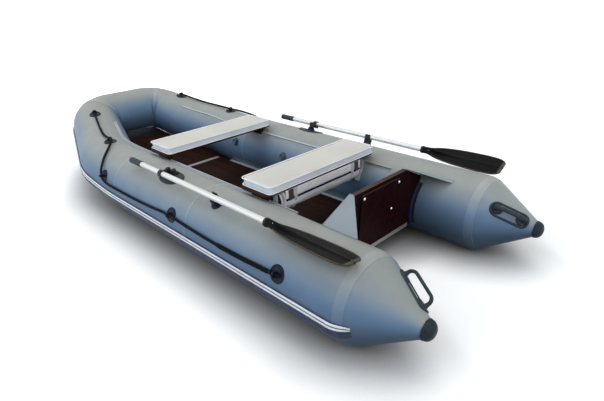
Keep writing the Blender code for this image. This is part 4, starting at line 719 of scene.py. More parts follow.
skin_rows = []
for k in range(SKIN_TURN_STEPS + 1):
    share = k / SKIN_TURN_STEPS
    turned = SKIN_ANGLE - (SKIN_ANGLE - SKIN_AFT_ANGLE) * (1 - share)
    edge = section_at(SKIN_AFT - SKIN_TURN_UP * share).point(turned, SKIN_HEIGHT)
    skin_rows.append(skin_row(edge, SKIN_DIP * share))
skin_bow = hull[-1].point(SKIN_ANGLE, SKIN_HEIGHT)
for section in hull:
    edge = section.point(SKIN_ANGLE, SKIN_HEIGHT)
    if skin_bow.x + 0.002 < edge.x < SKIN_AFT - SKIN_TURN_UP - 0.02:
        skin_rows.append(skin_row(edge, SKIN_DIP * min(1, (edge.x - skin_bow.x) / SKIN_DIP_START)))
bow_start = next(section for section in hull[seam_at:] if abs(section.along.x) < 0.001)
skin_rows.append(skin_row(Vector((skin_bow.x, bow_start.centre.y, skin_bow.z)), 0))
bottom_mesh = gridded("bottom_fabric", skin_rows)
# painted shade: the bottom's fabric is near black
SHADED_BOTTOM_PVC = pvc_fabric("shaded_bottom_pvc", (0.030, 0.035, 0.042), (0.014, 0.016, 0.019))
bottom = piece("bottom_fabric", bottom_mesh, SHADED_BOTTOM_PVC, stands_for=("bottom_skin",))
thickened(bottom, SKIN_THICK)

# Under the floor lies the keel, a long tube of the same PVC.  Blown up, it holds the panels
# from below and presses the bottom fabric down into a shallow ridge.

KEEL_STEPS, KEEL_AROUND, KEEL_BLUNT = 40, 32, 0.03
KEEL_HALF, KEEL_ROOF, KEEL_OVER_SKIN = 0.0595, 0.0738, 0.0035
KEEL_RISE_FROM, KEEL_RISE_LONG, KEEL_RISE = -0.680, 0.290, 0.022
keel_low, keel_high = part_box("keel_tube")
keel_rings = []
for k in range(KEEL_STEPS + 1):
    share = k / KEEL_STEPS
    x = keel_low.x + (keel_high.x - keel_low.x) * share
    to_end = min(share, 1 - share)
    blunt = math.sqrt(max(1 - (1 - to_end / KEEL_BLUNT) ** 2, 0)) if to_end < KEEL_BLUNT else 1
    foot = section_at(x).point(SKIN_ANGLE, SKIN_HEIGHT).z - SKIN_DIP + KEEL_OVER_SKIN
    roof = KEEL_ROOF + max(KEEL_RISE * (KEEL_RISE_FROM - x) / KEEL_RISE_LONG, 0)
    middle, tall = (foot + roof) / 2, (roof - foot) / 2 * (0.25 + 0.75 * blunt)
    wide = KEEL_HALF * (0.4 + 0.6 * blunt)
    turns = [FULL_TURN * m / KEEL_AROUND for m in range(KEEL_AROUND)]
    keel_rings.append([Vector((x, wide * math.cos(a), middle + tall * math.sin(a))) for a in turns])
piece("keel_cushion", lofted("keel_cushion", keel_rings), PVC, stands_for=("keel_tube",))

# The floor is four plywood panels under dark red-brown phenolic film, pressed with a fine
# wire-mesh pattern against slipping.  Aluminium bars join them and channels hold their sides.


WIRE_MESH, WIRE_SLANTS = 32, (45, -45)


def plywood(name, film, light, gloss, mesh_relief=0.0, edge=None):
    """Film-faced plywood: grain that shows faintly through dark film, and a bare ply edge, painted pale only
    on faces that look up: partly the edge's own wood, partly painted top light.
    """
    made = coated(name, film, gloss, Specular_IOR_Level=0.02)
    tree = made.node_tree
    faces = shaded(made, grain(made, 3, 7, (0.6, 9, 9)), [(0.25, film), (0.62, light), (0.9, film)])
    if edge:
        # painted top light: the pale ply colour shows only where the surface looks up
        layers = [(0.3, toned(edge, 0.7)), (0.7, edge)]
        lit_plies = shaded(made, grain(made, 4, 6, (1, 1, 90)), layers, None)
        coloured(made, blended(made, facing_up(made, 0.6, 0.9), faces, lit_plies))
    shaded(made, grain(made, 22, 5), [(0.3, gloss - 0.08), (0.8, gloss + 0.16)], "Roughness")
    embossed(made, grain(made, 6, 6, (0.6, 12, 12)), 0.0006, 0.25)
    for slant in WIRE_SLANTS if mesh_relief else ():
        place = tree.nodes.new("ShaderNodeTexCoord")
        spread = tree.nodes.new("ShaderNodeMapping")
        spread.inputs["Rotation"].default_value = (0, 0, math.radians(slant))
        lines = tree.nodes.new("ShaderNodeTexWave")
        lines.inputs["Scale"].default_value = WIRE_MESH
        tree.links.new(place.outputs["Object"], spread.inputs["Vector"])
        tree.links.new(spread.outputs["Vector"], lines.inputs["Vector"])
        embossed(made, lines.outputs["Fac"], mesh_relief, 0.35)
    return made


def brushed(name, colour, roughness, metallic=1.0):
    """Drawn aluminium with fine lines along its length and a few scuffs."""
    made = coated(name, colour, roughness, metallic)
    shaded(made, grain(made, 9, 6, (0.5, 30, 30)), [(0.3, toned(colour, 0.86)), (0.7, colour)])
    scuffs = [(0.3, roughness - 0.07), (0.75, roughness + 0.16)]
    shaded(made, grain(made, 40, 4, (0.06, 6, 6)), scuffs, "Roughness")
    embossed(made, grain(made, 90, 3, (0.03, 4, 4)), 0.0002, 0.2)
    return made


FLOOR_FILM = plywood("floor_film", (0.013, 0.006, 0.005), (0.028, 0.012, 0.008), 0.42, 0.0007)
ALUMINIUM = brushed("drawn_aluminium", (0.86, 0.86, 0.86), 0.38, 0.55)


def dressed(node, finish, edge, segments=2):
    """A solid of the frame kept as it is, with its finish and softened edges."""
    kept = bpy.data.objects[node]
    kept.data.materials.clear()
    kept.data.materials.append(finish)
    soft = kept.modifiers.new("softened_edges", "BEVEL")
    soft.width = edge
    soft.segments = segments
    soft.limit_method = "ANGLE"
    soft.angle_limit = math.radians(32)
    soft.harden_normals = True
    return kept


for node in ("stern_floor_panel", "middle_floor_panel", "fore_floor_panel", "bow_floor_panel"):
    dressed(node, FLOOR_FILM, 0.0012)
for side in ("port", "starboard"):
    dressed(side + "_stringer", ALUMINIUM, 0.0006)

BAR_ALUMINIUM = brushed("joint_aluminium", (0.44, 0.42, 0.40), 0.45, 0.30)
BAR_THICK, BAR_HALF, BAR_AROUND, BAR_CHAMFER = 0.0145, 0.0175, 24, 0.0008
BAR_FORE, BAR_DOWN, BAR_SHORT, BOW_BAR_UP = 0.011, 0.0045, 0.0265, 0.022


def drawn_bar(name, middle, wide):
    """A floor joint: a rounded aluminium profile across the boat, a little proud of the panels."""
    outline = []
    for k in range(BAR_AROUND):
        turned = FULL_TURN * (k + 0.5) / BAR_AROUND
        c, s = math.cos(turned), math.sin(turned)
        outline.append((BAR_HALF * math.copysign(abs(c) ** 0.35, c),
                        BAR_THICK / 2 * math.copysign(abs(s) ** 0.45, s)))
    rings = []
    for y in (-wide, -wide + BAR_CHAMFER, wide - BAR_CHAMFER, wide):
        shrink = 0.93 if abs(y) == wide else 1
        rings.append([Vector((u * shrink, y, v * shrink)) for u, v in outline])
    bar = lofted(name, rings)
    bar.transform(Matrix.Translation(middle))
    return piece(name, bar, BAR_ALUMINIUM)


floor_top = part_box("stern_floor_panel")[1].z
bar_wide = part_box("middle_floor_panel")[1].y - BAR_SHORT
for count, (node, lift) in enumerate((
        ("middle_floor_panel", 0), ("fore_floor_panel", 0), ("bow_floor_panel", BOW_BAR_UP))):
    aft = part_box(node)[1].x
    drawn_bar(f"floor_joint_bar_{count}", Vector((aft - BAR_FORE, 0, floor_top + lift - BAR_DOWN)), bar_wide)

# The transom is varnished plywood that carries the motor.  An outer pad is bolted on it, a
# channel shields its lower edge, and rubber holders glued to the tubes grip its sides.

TRANSOM_FILM = plywood("transom_varnish", (0.008, 0.003, 0.005), (0.018, 0.005, 0.006), 0.36,
                       edge=(0.085, 0.050, 0.038))
PAD_FILM = plywood("transom_pad_varnish", (0.007, 0.002, 0.004), (0.020, 0.004, 0.004), 0.34,
                   edge=(0.100, 0.060, 0.045))
HOLDER_RUBBER = moulded_rubber("holder_rubber", (0.010, 0.015, 0.040), 0.36)
DULL_ALUMINIUM = brushed("channel_aluminium", (0.40, 0.40, 0.38), 0.42, 0.75)
dressed("transom_board", TRANSOM_FILM, 0.0020, 3)
dressed("transom_pad", PAD_FILM, 0.0009)
dressed("transom_edge_profile", DULL_ALUMINIUM, 0.0006)
for side in ("port", "starboard"):
    dressed(side + "_transom_holder", HOLDER_RUBBER, 0.0016, 3)
TRANSOM_X, RAKE = 1.092, math.tan(math.radians(4.3))
BOARD_HALF, OUTER_PAD_THICK, OUTER_PAD_GAP = 0.0135, 0.009, 0.0003
TRANSOM_TOP_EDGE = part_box("transom_board")[1].z
STEEL = brushed("bolt_steel", (0.86, 0.86, 0.84), 0.22)


def transom_face(y, z, out):
    """A place on the raked board, a distance aft of its middle plane."""
    return Vector((TRANSOM_X + (z - TRANSOM_TOP_EDGE) * RAKE + out, y, z))


BOLTS = ((-0.142, 0.417), (0.137, 0.414), (0.094, 0.280))
BOLT_DOME = ((0.0078, 0), (0.0078, 0.0010), (0.0064, 0.0013), (0.0062, 0.0022), (0.0054, 0.0036),
             (0.0034, 0.0046), (0.0004, 0.0050))
BOLT_ENDS = (("head", BOARD_HALF + OUTER_PAD_GAP + OUTER_PAD_THICK, 1), ("nut", -BOARD_HALF, -1))
aft_face = Vector((1, 0, -RAKE)).normalized()
for count, (y, z) in enumerate(BOLTS):
    for end, out, way in BOLT_ENDS:
        bolt = turned_solid(f"bolt_{end}", BOLT_DOME, 28)
        placed(bolt, transom_face(y, z, out), Vector((0, 1, 0)), aft_face * way)
        piece(f"transom_bolt_{end}_{count}", bolt, STEEL)

# A triangle of PVC fabric on each side ties the top of the transom to the tube.  Its foot is
# a flange glued along the tube, and its edges are doubled over and welded.

GUSSET_ANGLE, GUSSET_FORE, GUSSET_AFT, GUSSET_FLANGE = -33, 1.072, 1.270, 0.020
GUSSET_TIP_WIDE, GUSSET_HOLLOW, GUSSET_THICK = 0.026, 0.0035, 0.0016
GUSSET_ACROSS, FLANGE_STEPS, GUSSET_STEPS = 20, 4, 12
FLANGE_UP, FLANGE_EDGE_UP = 0.0012, 0.0018
GUSSET_PVC = pvc_fabric("gusset_pvc", (0.215, 0.250, 0.290), (0.285, 0.320, 0.345))
gusset_apex = Vector((TRANSOM_X, -0.2095, TRANSOM_TOP_EDGE + 0.0048))
gusset_shares = [m / GUSSET_ACROSS for m in range(GUSSET_ACROSS + 1)]
flange_spread = math.degrees(GUSSET_FLANGE / TUBE_RADIUS)
for side, flip in SIDES:
    rows = []
    for k in range(FLANGE_STEPS + 1):
        angle = GUSSET_ANGLE + flange_spread * (1 - k / FLANGE_STEPS)
        height = FLANGE_EDGE_UP if k == FLANGE_STEPS else FLANGE_UP
        rows.append([section_at(GUSSET_AFT + (GUSSET_FORE - GUSSET_AFT) * at).point(angle, height)
                     for at in gusset_shares])
    foot = rows[-1]
    for k in range(1, GUSSET_STEPS + 1):
        share = k / GUSSET_STEPS
        row = []
        for at, start in zip(gusset_shares, foot):
            tip = gusset_apex + Vector(((0.5 - at) * GUSSET_TIP_WIDE, 0, 0))
            hollow = GUSSET_HOLLOW * math.sin(math.pi * share) * math.sin(math.pi * at)
            row.append(start.lerp(tip, share) + Vector((0, 0, hollow)))
        rows.append(row)
    if flip:
        rows = [other_side(row) for row in rows]
    gusset_mesh = gridded(side + "_gusset_fabric", rows)
    gusset = piece(side + "_gusset_fabric", gusset_mesh, GUSSET_PVC, stands_for=(side + "_transom_gusset",))
    thickened(gusset, GUSSET_THICK)

# The seats are varnished plywood boards with welded vinyl cushions over foam.  Rubber shoes
# under the boards' ends hook over the rails, so that the seats slide along the boat.

BOARD_FILM = plywood("seat_varnish", (0.026, 0.013, 0.012), (0.044, 0.022, 0.018), 0.42)
SEAT_FRONT, SEAT_REAR = -0.271, 0.641
PAD_WIDE, PAD_LONG, PAD_TALL = 0.224, 0.8135, 0.045
PAD_CORNER, PAD_CORNER_LEAST, PAD_GAP_UNDER = 0.025, 0.003, 0.0004
LEATHER_CELLS = 480


def vinyl(name, side_colour, lit_top_colour):
    """Soft vinyl: fine leather grain, with painted light: a warm top from the light above and cool sides from
    the sky.
    """
    made = coated(name, side_colour, 0.45, Specular_IOR_Level=0.4)
    tree = made.node_tree
    side_tones = [(0.3, toned(side_colour, 0.92)), (0.7, toned(side_colour, 1.05))]
    lit_top_tones = [(0.3, toned(lit_top_colour, 0.93)), (0.7, toned(lit_top_colour, 1.04))]
    sides = shaded(made, grain(made, 9, 5), side_tones, None)
    tops = shaded(made, grain(made, 6, 6), lit_top_tones, None)
    # painted light: faces that look up take the warm top colour, the rest the cool side colour
    coloured(made, blended(made, facing_up(made, 0.35, 0.9), sides, tops))
    shaded(made, grain(made, 12, 4), [(0.3, 0.38), (0.75, 0.54)], "Roughness")
    cells = tree.nodes.new("ShaderNodeTexVoronoi")
    cells.inputs["Scale"].default_value = LEATHER_CELLS
    place = tree.nodes.new("ShaderNodeTexCoord")
    tree.links.new(place.outputs["Object"], cells.inputs["Vector"])
    embossed(made, cells.outputs["Distance"], 0.0003, 0.35)
    embossed(made, grain(made, 16, 4), 0.0022, 0.35)
    return made


VINYL = vinyl("seat_vinyl", (0.74, 0.79, 0.86), (0.66, 0.635, 0.575))
PIPING = vinyl("seat_piping", (0.94, 0.96, 0.98), (0.94, 0.94, 0.93))


def rounded_outline(length, width, radius, steps=8):
    """A rectangle with round corners, as (x, y) points about its middle."""
    points = []
    for quarter, (sx, sy) in enumerate(((1, 1), (-1, 1), (-1, -1), (1, -1))):
        for k in range(steps + 1):
            turned = math.radians(90 * (quarter + k / steps))
            points.append((sx * (width / 2 - radius) + radius * math.cos(turned),
                           sy * (length / 2 - radius) + radius * math.sin(turned)))
    return points


FOAM_FOOT = ((0.0070, 0), (0.0035, 0.0015))
FOAM_SLICES = (  # how far in from the sides, and a share of the height
    (0.0030, 0.25), (0.0036, 0.5), (0.0030, 0.74), (0.0040, 0.87), (0.0095, 0.93), (0.030, 0.965),
    (0.062, 0.985),
)
COVER_CELL, AIR_PRESSURE, AIR_FRAMES, MOST_SWELL, COVER_FOOT = 0.006, 4, 20, 0.0045, 0.0002


def swollen(made, long, wide, tall):
    """Blows the cover out against its foam, by simulation, and holds it inside the cushion's size."""
    start = made.copy()
    start.data = made.data.copy()
    bpy.context.scene.collection.objects.link(start)
    cells = start.modifiers.new("cells", "REMESH")
    cells.mode = "VOXEL"
    cells.voxel_size = COVER_CELL
    fine = bpy.data.meshes.new_from_object(start.evaluated_get(bpy.context.evaluated_depsgraph_get()))
    bpy.data.objects.remove(start, do_unlink=True)
    made.data = fine
    at_rest = [v.co.copy() for v in fine.vertices]
    air = made.modifiers.new("air", "CLOTH")
    air.settings.use_pressure = True
    air.settings.uniform_pressure_force = AIR_PRESSURE
    air.settings.effector_weights.gravity = 0
    air.settings.quality = 4
    for number in range(1, AIR_FRAMES + 1):
        bpy.context.scene.frame_set(number)
    blown = made.evaluated_get(bpy.context.evaluated_depsgraph_get())
    grown = [v.co.copy() for v in blown.data.vertices]
    made.modifiers.clear()
    for vertex, old, new in zip(fine.vertices, at_rest, grown):
        moved = new - old
        if moved.length > MOST_SWELL:
            moved = moved.normalized() * MOST_SWELL
        vertex.co = old + moved
        vertex.co.x = min(max(vertex.co.x, -wide / 2), wide / 2)
        vertex.co.y = min(max(vertex.co.y, -long / 2), long / 2)
        vertex.co.z = min(max(vertex.co.z, COVER_FOOT), tall)


def cushion(name, base, long, wide, tall):
    """A foam block in its cover, blown out a little and flat underneath."""
    rings = []
    for inset, z in FOAM_FOOT + tuple((inset, tall * share) for inset, share in FOAM_SLICES):
        corner = max(PAD_CORNER - inset, PAD_CORNER_LEAST)
        outline = rounded_outline(long - 2 * inset, wide - 2 * inset, corner)
        rings.append([Vector((x, y, z)) for x, y in outline])
    made = bpy.data.objects.new(name, lofted(name, rings))
    bpy.context.scene.collection.objects.link(made)
    swollen(made, long, wide, tall)
    bpy.context.scene.frame_set(1)
    finer = made.modifiers.new("soft", "SUBSURF")
    finer.levels = 1
    finer.render_levels = 1
    made.data.transform(Matrix.Translation(base))
    return made


def swept(name, path, outline, facing, closed=False):
    """A solid along a path, with an outline of (across, out) whose out side keeps facing one way."""
    rings = []
    for i, point in enumerate(path):
        ahead_of = path[(i + 1) % len(path)] if closed or i < len(path) - 1 else path[i]
        behind = path[i - 1] if closed or i else path[i]
        along = (ahead_of - behind).normalized()
        across = along.cross(facing).normalized()
        out = across.cross(along).normalized()
        rings.append([point + across * u + out * v for u, v in outline])
    return lofted(name, rings, round_trip=closed)


def circle(radius, steps):
    turns = [FULL_TURN * k / steps for k in range(steps)]
    return [(radius * math.cos(turned), radius * math.sin(turned)) for turned in turns]


WELT, WELT_CORNER, WELT_STEP = 0.0032, 0.0235, 0.02
WELTS = ((PAD_TALL * 0.865, 0.0012), (0.0042, 0.0020))
END_SEAM, END_SEAM_ASIDE, END_SEAM_STEPS = 0.0009, 0.052, 12
UPRIGHT = Vector((0, 0, 1))
for seat, seat_x in (("front_seat", SEAT_FRONT), ("rear_seat", SEAT_REAR)):
    dressed(seat + "_board", BOARD_FILM, 0.0014)
    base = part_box(seat + "_pad")[0].z + PAD_GAP_UNDER
    pad = cushion(seat + "_cushion", Vector((seat_x, 0, base)), PAD_LONG, PAD_WIDE, PAD_TALL - 0.0006)
    pad.data.materials.append(VINYL)
    pad.data.shade_smooth()
    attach(pad, seat)
    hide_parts(seat + "_pad")
    for count, (height, inset) in enumerate(WELTS):
        outline = rounded_outline(PAD_LONG - 2 * inset, PAD_WIDE - 2 * inset, WELT_CORNER, 7)
        line = [Vector((seat_x + x, y, base + height)) for x, y in outline]
        dense = []
        for a, b in zip(line, line[1:] + line[:1]):
            steps = max(1, round((b - a).length / WELT_STEP))
            dense += [a.lerp(b, k / steps) for k in range(steps)]
        welt = swept(f"{seat}_piping_{count}", dense, circle(WELT, 10), UPRIGHT, closed=True)
        piece(f"{seat}_piping_{count}", welt, PIPING, seat)
    for end, side in ((-1, "port"), (1, "starboard")):
        seam = []
        for k in range(END_SEAM_STEPS + 1):
            level = base + PAD_TALL * (0.10 + 0.76 * k / END_SEAM_STEPS)
            seam.append(Vector((seat_x + end * END_SEAM_ASIDE, end * (PAD_LONG / 2 - 0.0006), level)))
        welt = swept(f"{seat}_end_seam_{side}", seam, circle(END_SEAM, 6), Vector((0, end, 0)))
        piece(f"{seat}_end_seam_{side}", welt, PIPING, seat)

# A bag of silver coated cloth hangs under the rear seat from straps round the board.  Its valance covers the
# mouth, tabs hold it at both ends, and its ends are dark ovals: painted shade for the dark inside of the open
# ends.

BAG_HALF, BAG_DEEP, BAG_WIDE, BAG_NARROW, BAG_SAG = 0.297, 0.139, 0.0985, 0.030, 0.010
BAG_AROUND, BAG_STEPS = 72, 66
BAG_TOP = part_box("seat_bag")[1].z - 0.0008


def silver(name, colour, crease=1.0):
    """Coated cloth with a satin sheen, creased where it was folded."""
    made = coated(name, colour, 0.42, 0.05, Sheen_Weight=0.6, Specular_IOR_Level=0.9)
    tones = [(0.25, toned(colour, 0.84)), (0.45, colour), (0.7, toned(colour, 1.08))]
    shaded(made, grain(made, 14, 8), tones)
    shaded(made, grain(made, 30, 5), [(0.3, 0.30), (0.75, 0.58)], "Roughness")
    embossed(made, grain(made, 38, 7), 0.004 * crease, 0.5)
    embossed(made, grain(made, 500, 0.3, wave=True), 0.0002, 0.3)
    return made


SILVER = silver("silver_cloth", (0.95, 0.95, 0.96))
SILVER_LIGHT = silver("silver_valance", (0.96, 0.96, 0.96), 0.7)
# painted shade: the dark ovals at the bag's ends
BAG_END_SHADE_CLOTH = coated("bag_end_shade_cloth", (0.030, 0.045, 0.070), 0.6)
shaded(BAG_END_SHADE_CLOTH, grain(BAG_END_SHADE_CLOTH, 20, 6), [(0.3, (0.016, 0.024, 0.04)), (0.7, (0.05, 0.07, 0.10))])
embossed(BAG_END_SHADE_CLOTH, grain(BAG_END_SHADE_CLOTH, 60, 6), 0.002, 0.4)
WEBBING = coated("strap_webbing", (0.62, 0.66, 0.70), 0.7, Sheen_Weight=0.3)
shaded(WEBBING, grain(WEBBING, 60, 3), [(0.3, (0.50, 0.54, 0.58)), (0.7, (0.68, 0.72, 0.76))])
embossed(WEBBING, grain(WEBBING, 700, 0.2, wave=True), 0.0005, 0.5)
TAB_CLOTH = coated("tab_cloth", (0.055, 0.032, 0.028), 0.8)
shaded(TAB_CLOTH, grain(TAB_CLOTH, 90, 5), [(0.3, (0.035, 0.02, 0.018)), (0.7, (0.085, 0.052, 0.045))])
embossed(TAB_CLOTH, grain(TAB_CLOTH, 320, 2), 0.0009, 0.6)


def bag_slice(y, share):
    """The section of the bag at a place across the boat: a sagging pouch, fuller in its middle."""
    full = math.sqrt(max(1 - (abs(share) ** 6), 0.0)) * 0.985 + 0.015
    ring = []
    for k in range(BAG_AROUND):
        turned = FULL_TURN * k / BAG_AROUND
        c, s = math.cos(turned), math.sin(turned)
        wide = BAG_WIDE if s > 0 else BAG_WIDE - BAG_NARROW * abs(s) ** 1.4
        x = wide * math.copysign(abs(c) ** 0.62, c)
        z = BAG_DEEP / 2 * (math.copysign(abs(s) ** 0.55, s) - 1)
        sag = BAG_SAG * (1 - share * share) * max(-s, 0)
        crease = noise.noise(Vector((x * 26, y * 17, z * 30))) * 0.0030
        crease += noise.noise(Vector((x * 70, y * 52, z * 75))) * 0.0012
        pull = 1 - 0.05 * (0.5 + 0.5 * math.sin(y * 52 + 4 * z)) * max(-s, 0)
        edge = 0.975 + crease / 0.1
        ring.append(Vector((
            SEAT_REAR + x * edge * pull * (0.94 + 0.06 * full), y,
            max(BAG_TOP + z * (0.965 * edge) - sag * 0.3, BAG_TOP - BAG_DEEP + 0.0008),
        )))
    return ring


def flat_strip(half, thick):
    """The outline of a flat strip, as (across, out) points."""
    return [(half * u, thick * v) for u, v in ((-1, -1), (1, -1), (1, 1), (-1, 1))]


bag_shares = [2 * k / BAG_STEPS - 1 for k in range(BAG_STEPS + 1)]
bag_mesh = lofted("storage_bag", [bag_slice(BAG_HALF * share, share) for share in bag_shares])
bag = piece("storage_bag", bag_mesh, SILVER, "rear_seat", stands_for=("seat_bag",),
            smooth=60)

BAG_END_AROUND, BAG_END_HALF_WIDE, BAG_END_HALF_TALL, BAG_END_PIPING = 40, 0.074, 0.058, 0.0032
BAG_END_ROWS = ((1.0, -0.0022), (0.96, -0.0026), (0.88, -0.0010), (0.55, 0.0), (0.06, 0.0))
oval = []
for k in range(BAG_END_AROUND):
    turned = FULL_TURN * k / BAG_END_AROUND
    oval.append((BAG_END_HALF_WIDE * math.cos(turned), BAG_END_HALF_TALL * math.sin(turned)))
for end, side in ((-1, "port"), (1, "starboard")):
    middle = Vector((SEAT_REAR, end * (BAG_HALF + 0.0006), BAG_TOP - BAG_DEEP * 0.50))
    rows = [[middle + Vector((u * share, -end * dip, v * share)) for u, v in oval]
            for share, dip in BAG_END_ROWS]
    piece(side + "_bag_end", lofted(side + "_bag_end", rows), BAG_END_SHADE_CLOTH, "rear_seat")
    line = [middle + Vector((u, end * 0.0016, v)) for u, v in oval]
    welt = swept(side + "_bag_end_piping", line, circle(BAG_END_PIPING, 8), Vector((0, 1, 0)), closed=True)
    piece(side + "_bag_end_piping", welt, SILVER_LIGHT, "rear_seat")

VALANCE_FALL, VALANCE_OUT, VALANCE_THICK = 0.046, 0.0975, 0.0008
VALANCE_ROWS, VALANCE_ACROSS = 8, 60
TAB_OUTLINE = ((-1, -1), (0, -1.04), (1, -1), (1.0, 1), (0, 1), (-1, 1))
TAB_OUT, TAB_HALF_WIDE, TAB_HALF_TALL, TAB_DOWN = 0.1000, 0.017, 0.028, 0.030
HEM_LINE_OUT, HEM_LINE_DOWN, HEM_LINE_HALF_THICK, HEM_LINE_HALF_TALL, HEM_LINE_STEPS = 0.0972, 0.0055, 0.0018, 0.0068, 30
for way, name in ((1, "bag_valance_aft"), (-1, "bag_valance_fore")):
    rows = []
    for k in range(VALANCE_ROWS + 1):
        down = k / VALANCE_ROWS
        row = []
        for m in range(VALANCE_ACROSS + 1):
            y = (BAG_HALF - 0.004) * (2 * m / VALANCE_ACROSS - 1)
            wrinkle = 0.0011 * noise.noise(Vector((y * 40, down * 3, way * 7))) * down
            x = SEAT_REAR + way * (VALANCE_OUT + 0.0020 * math.sin(math.pi * down * 0.7) + wrinkle)
            hem = 0.0022 * noise.noise(Vector((y * 11, way * 3, 0))) * down
            row.append(Vector((x, y, BAG_TOP - 0.001 - VALANCE_FALL * down + hem)))
        rows.append(row)
    valance = piece(name, gridded(name, rows), SILVER_LIGHT, "rear_seat")
    thickened(valance, VALANCE_THICK)
    for count, y in enumerate((-0.258, 0.258)):
        level = BAG_TOP - TAB_DOWN
        tab = lofted(f"{name}_tab_{count}", [
            [Vector((SEAT_REAR + way * (TAB_OUT + out), y + TAB_HALF_WIDE * u, level + TAB_HALF_TALL * v))
             for u, v in TAB_OUTLINE] for out in (-0.001, 0.0016)])
        piece(f"{name}_tab_{count}", tab, TAB_CLOTH, "rear_seat")
    # A black strip runs along the bag just under each valance's hem.
    mouth = []
    for m in range(HEM_LINE_STEPS + 1):
        y = (BAG_HALF - 0.008) * (2 * m / HEM_LINE_STEPS - 1)
        mouth.append(Vector((SEAT_REAR + way * HEM_LINE_OUT, y, BAG_TOP - VALANCE_FALL - HEM_LINE_DOWN)))
    hem_line_strip = swept(name + "_hem_line", mouth, flat_strip(HEM_LINE_HALF_THICK, HEM_LINE_HALF_TALL), UPRIGHT)
    piece(name + "_hem_line", hem_line_strip, BLACK_RUBBER, "rear_seat")

HANGER_X, HANGER_Y, HANGER_FOOT, HANGER_STEPS = 0.070, 0.3385, 0.262, 14
HANGER_HALF, HANGER_THICK, HANGER_UP, HANGER_OFF_TUBE = 0.017, 0.0009, 0.0004, 0.005
for end, side in ((-1, "port"), (1, "starboard")):
    hang = []
    for k in range(HANGER_STEPS + 1):
        level = BAG_TOP + HANGER_UP - (BAG_TOP - HANGER_FOOT) * k / HANGER_STEPS
        wall = TUBE_SIDE - math.sqrt((TUBE_RADIUS + HANGER_OFF_TUBE) ** 2 - (level - TUBE_LEVEL) ** 2)
        hang.append(Vector((SEAT_REAR + HANGER_X, end * min(HANGER_Y, wall), level)))
    strip = swept(side + "_bag_hanger", hang, flat_strip(HANGER_HALF, HANGER_THICK), Vector((0, end, 0.3)))
    piece(side + "_bag_hanger", strip, WEBBING, "rear_seat")

STRAP_HALF, STRAP_FOOT, STRAP_TOP = 0.010, 0.0001, 0.0011
STRAP_AFT = ((0.0995, 0.000396), (0.1008, -0.00594), (0.1012, -0.04554), (0.094, -0.0792), (0.082, -0.11088),
             (0.060, -0.13167), (0.030, -0.136026))
strap_shape = [(-STRAP_HALF, STRAP_FOOT), (-STRAP_HALF, STRAP_TOP),
               (STRAP_HALF, STRAP_TOP), (STRAP_HALF, STRAP_FOOT)]
for count, y in enumerate((-0.225, 0.225)):
    route = list(STRAP_AFT) + [(-x, z) for x, z in STRAP_AFT[::-1]]
    path = [Vector((SEAT_REAR + x, y, BAG_TOP + z)) for x, z in route]
    middle = Vector((SEAT_REAR, y, BAG_TOP - BAG_DEEP / 2))
    across = Vector((0, 1, 0))
    rings = []
    for i, point in enumerate(path):
        before, after = path[max(i - 1, 0)], path[min(i + 1, len(path) - 1)]
        out = across.cross((after - before).normalized())
        out = out if out.dot(point - middle) > 0 else -out
        rings.append([point + across * u + out * v for u, v in strap_shape])
    strap = lofted(f"bag_strap_{count}", rings)
    piece(f"bag_strap_{count}", strap, WEBBING, "rear_seat")

# The oars have aluminium shafts with a rubber grip at one end and a moulded plastic blade,
# stiffened by a rim and a spine, at the other.  Each passes through a clamp ring.

OAR_AXIS = Vector((0.100, -0.60463, 0.42489))
SHAFT_RADIUS, SHAFT_FORE, SHAFT_AFT, SHAFT_UNDER = 0.015, 0.330, 0.900, 0.0001
SHAFT_METAL = brushed("shaft_aluminium", (0.80, 0.80, 0.78), 0.38, 0.22)


def moulded_plastic(name, colour, gloss, glint, clouds, tones, scuffs, worn, pores):
    """Moulded plastic: tones in soft clouds, a gloss that scuffs break up, and fine pores."""
    made = coated(name, colour, gloss, Specular_IOR_Level=glint)
    shaded(made, grain(made, *clouds), tones)
    shaded(made, grain(made, *scuffs), worn, "Roughness")
    embossed(made, grain(made, *pores), 0.0003, 0.3)
    return made


BLADE_PLASTIC = moulded_plastic(
    "blade_plastic", (0.008, 0.008, 0.008), 0.32, 0.02,
    clouds=(8, 6), tones=[(0.3, (0.007, 0.007, 0.008)), (0.8, (0.014, 0.013, 0.012))],
    scuffs=(26, 5), worn=[(0.3, 0.24), (0.75, 0.42)], pores=(260, 3))
# The rim is painted olive-brown on the black blade: a painted sheen for the light the raised rim catches.
RIM_SHEEN_PLASTIC = moulded_plastic(
    "blade_rim_sheen_plastic", (0.034, 0.026, 0.016), 0.36, 0.14,
    clouds=(30, 5), tones=[(0.3, (0.040, 0.032, 0.020)), (0.75, (0.085, 0.070, 0.042))],
    scuffs=(60, 4), worn=[(0.3, 0.28), (0.75, 0.48)], pores=(300, 3))
BLACK_PLASTIC = moulded_plastic(
    "moulded_plastic", (0.009, 0.010, 0.013), 0.36, 0.15,
    clouds=(12, 5), tones=[(0.3, (0.009, 0.009, 0.010)), (0.75, (0.028, 0.028, 0.030))],
    scuffs=(40, 4), worn=[(0.3, 0.28), (0.75, 0.5)], pores=(500, 2))
GRIP_RUBBER = moulded_rubber("grip_rubber", (0.045, 0.055, 0.065), 0.55)


OAR_AROUND = 48


def along_x(name, profile):
    """A solid round X through (place, radius) points."""
    turns = [FULL_TURN * k / OAR_AROUND for k in range(OAR_AROUND)]
    return lofted(name, [[Vector((x, r * math.cos(turned), r * math.sin(turned))) for turned in turns]
                         for x, r in profile])


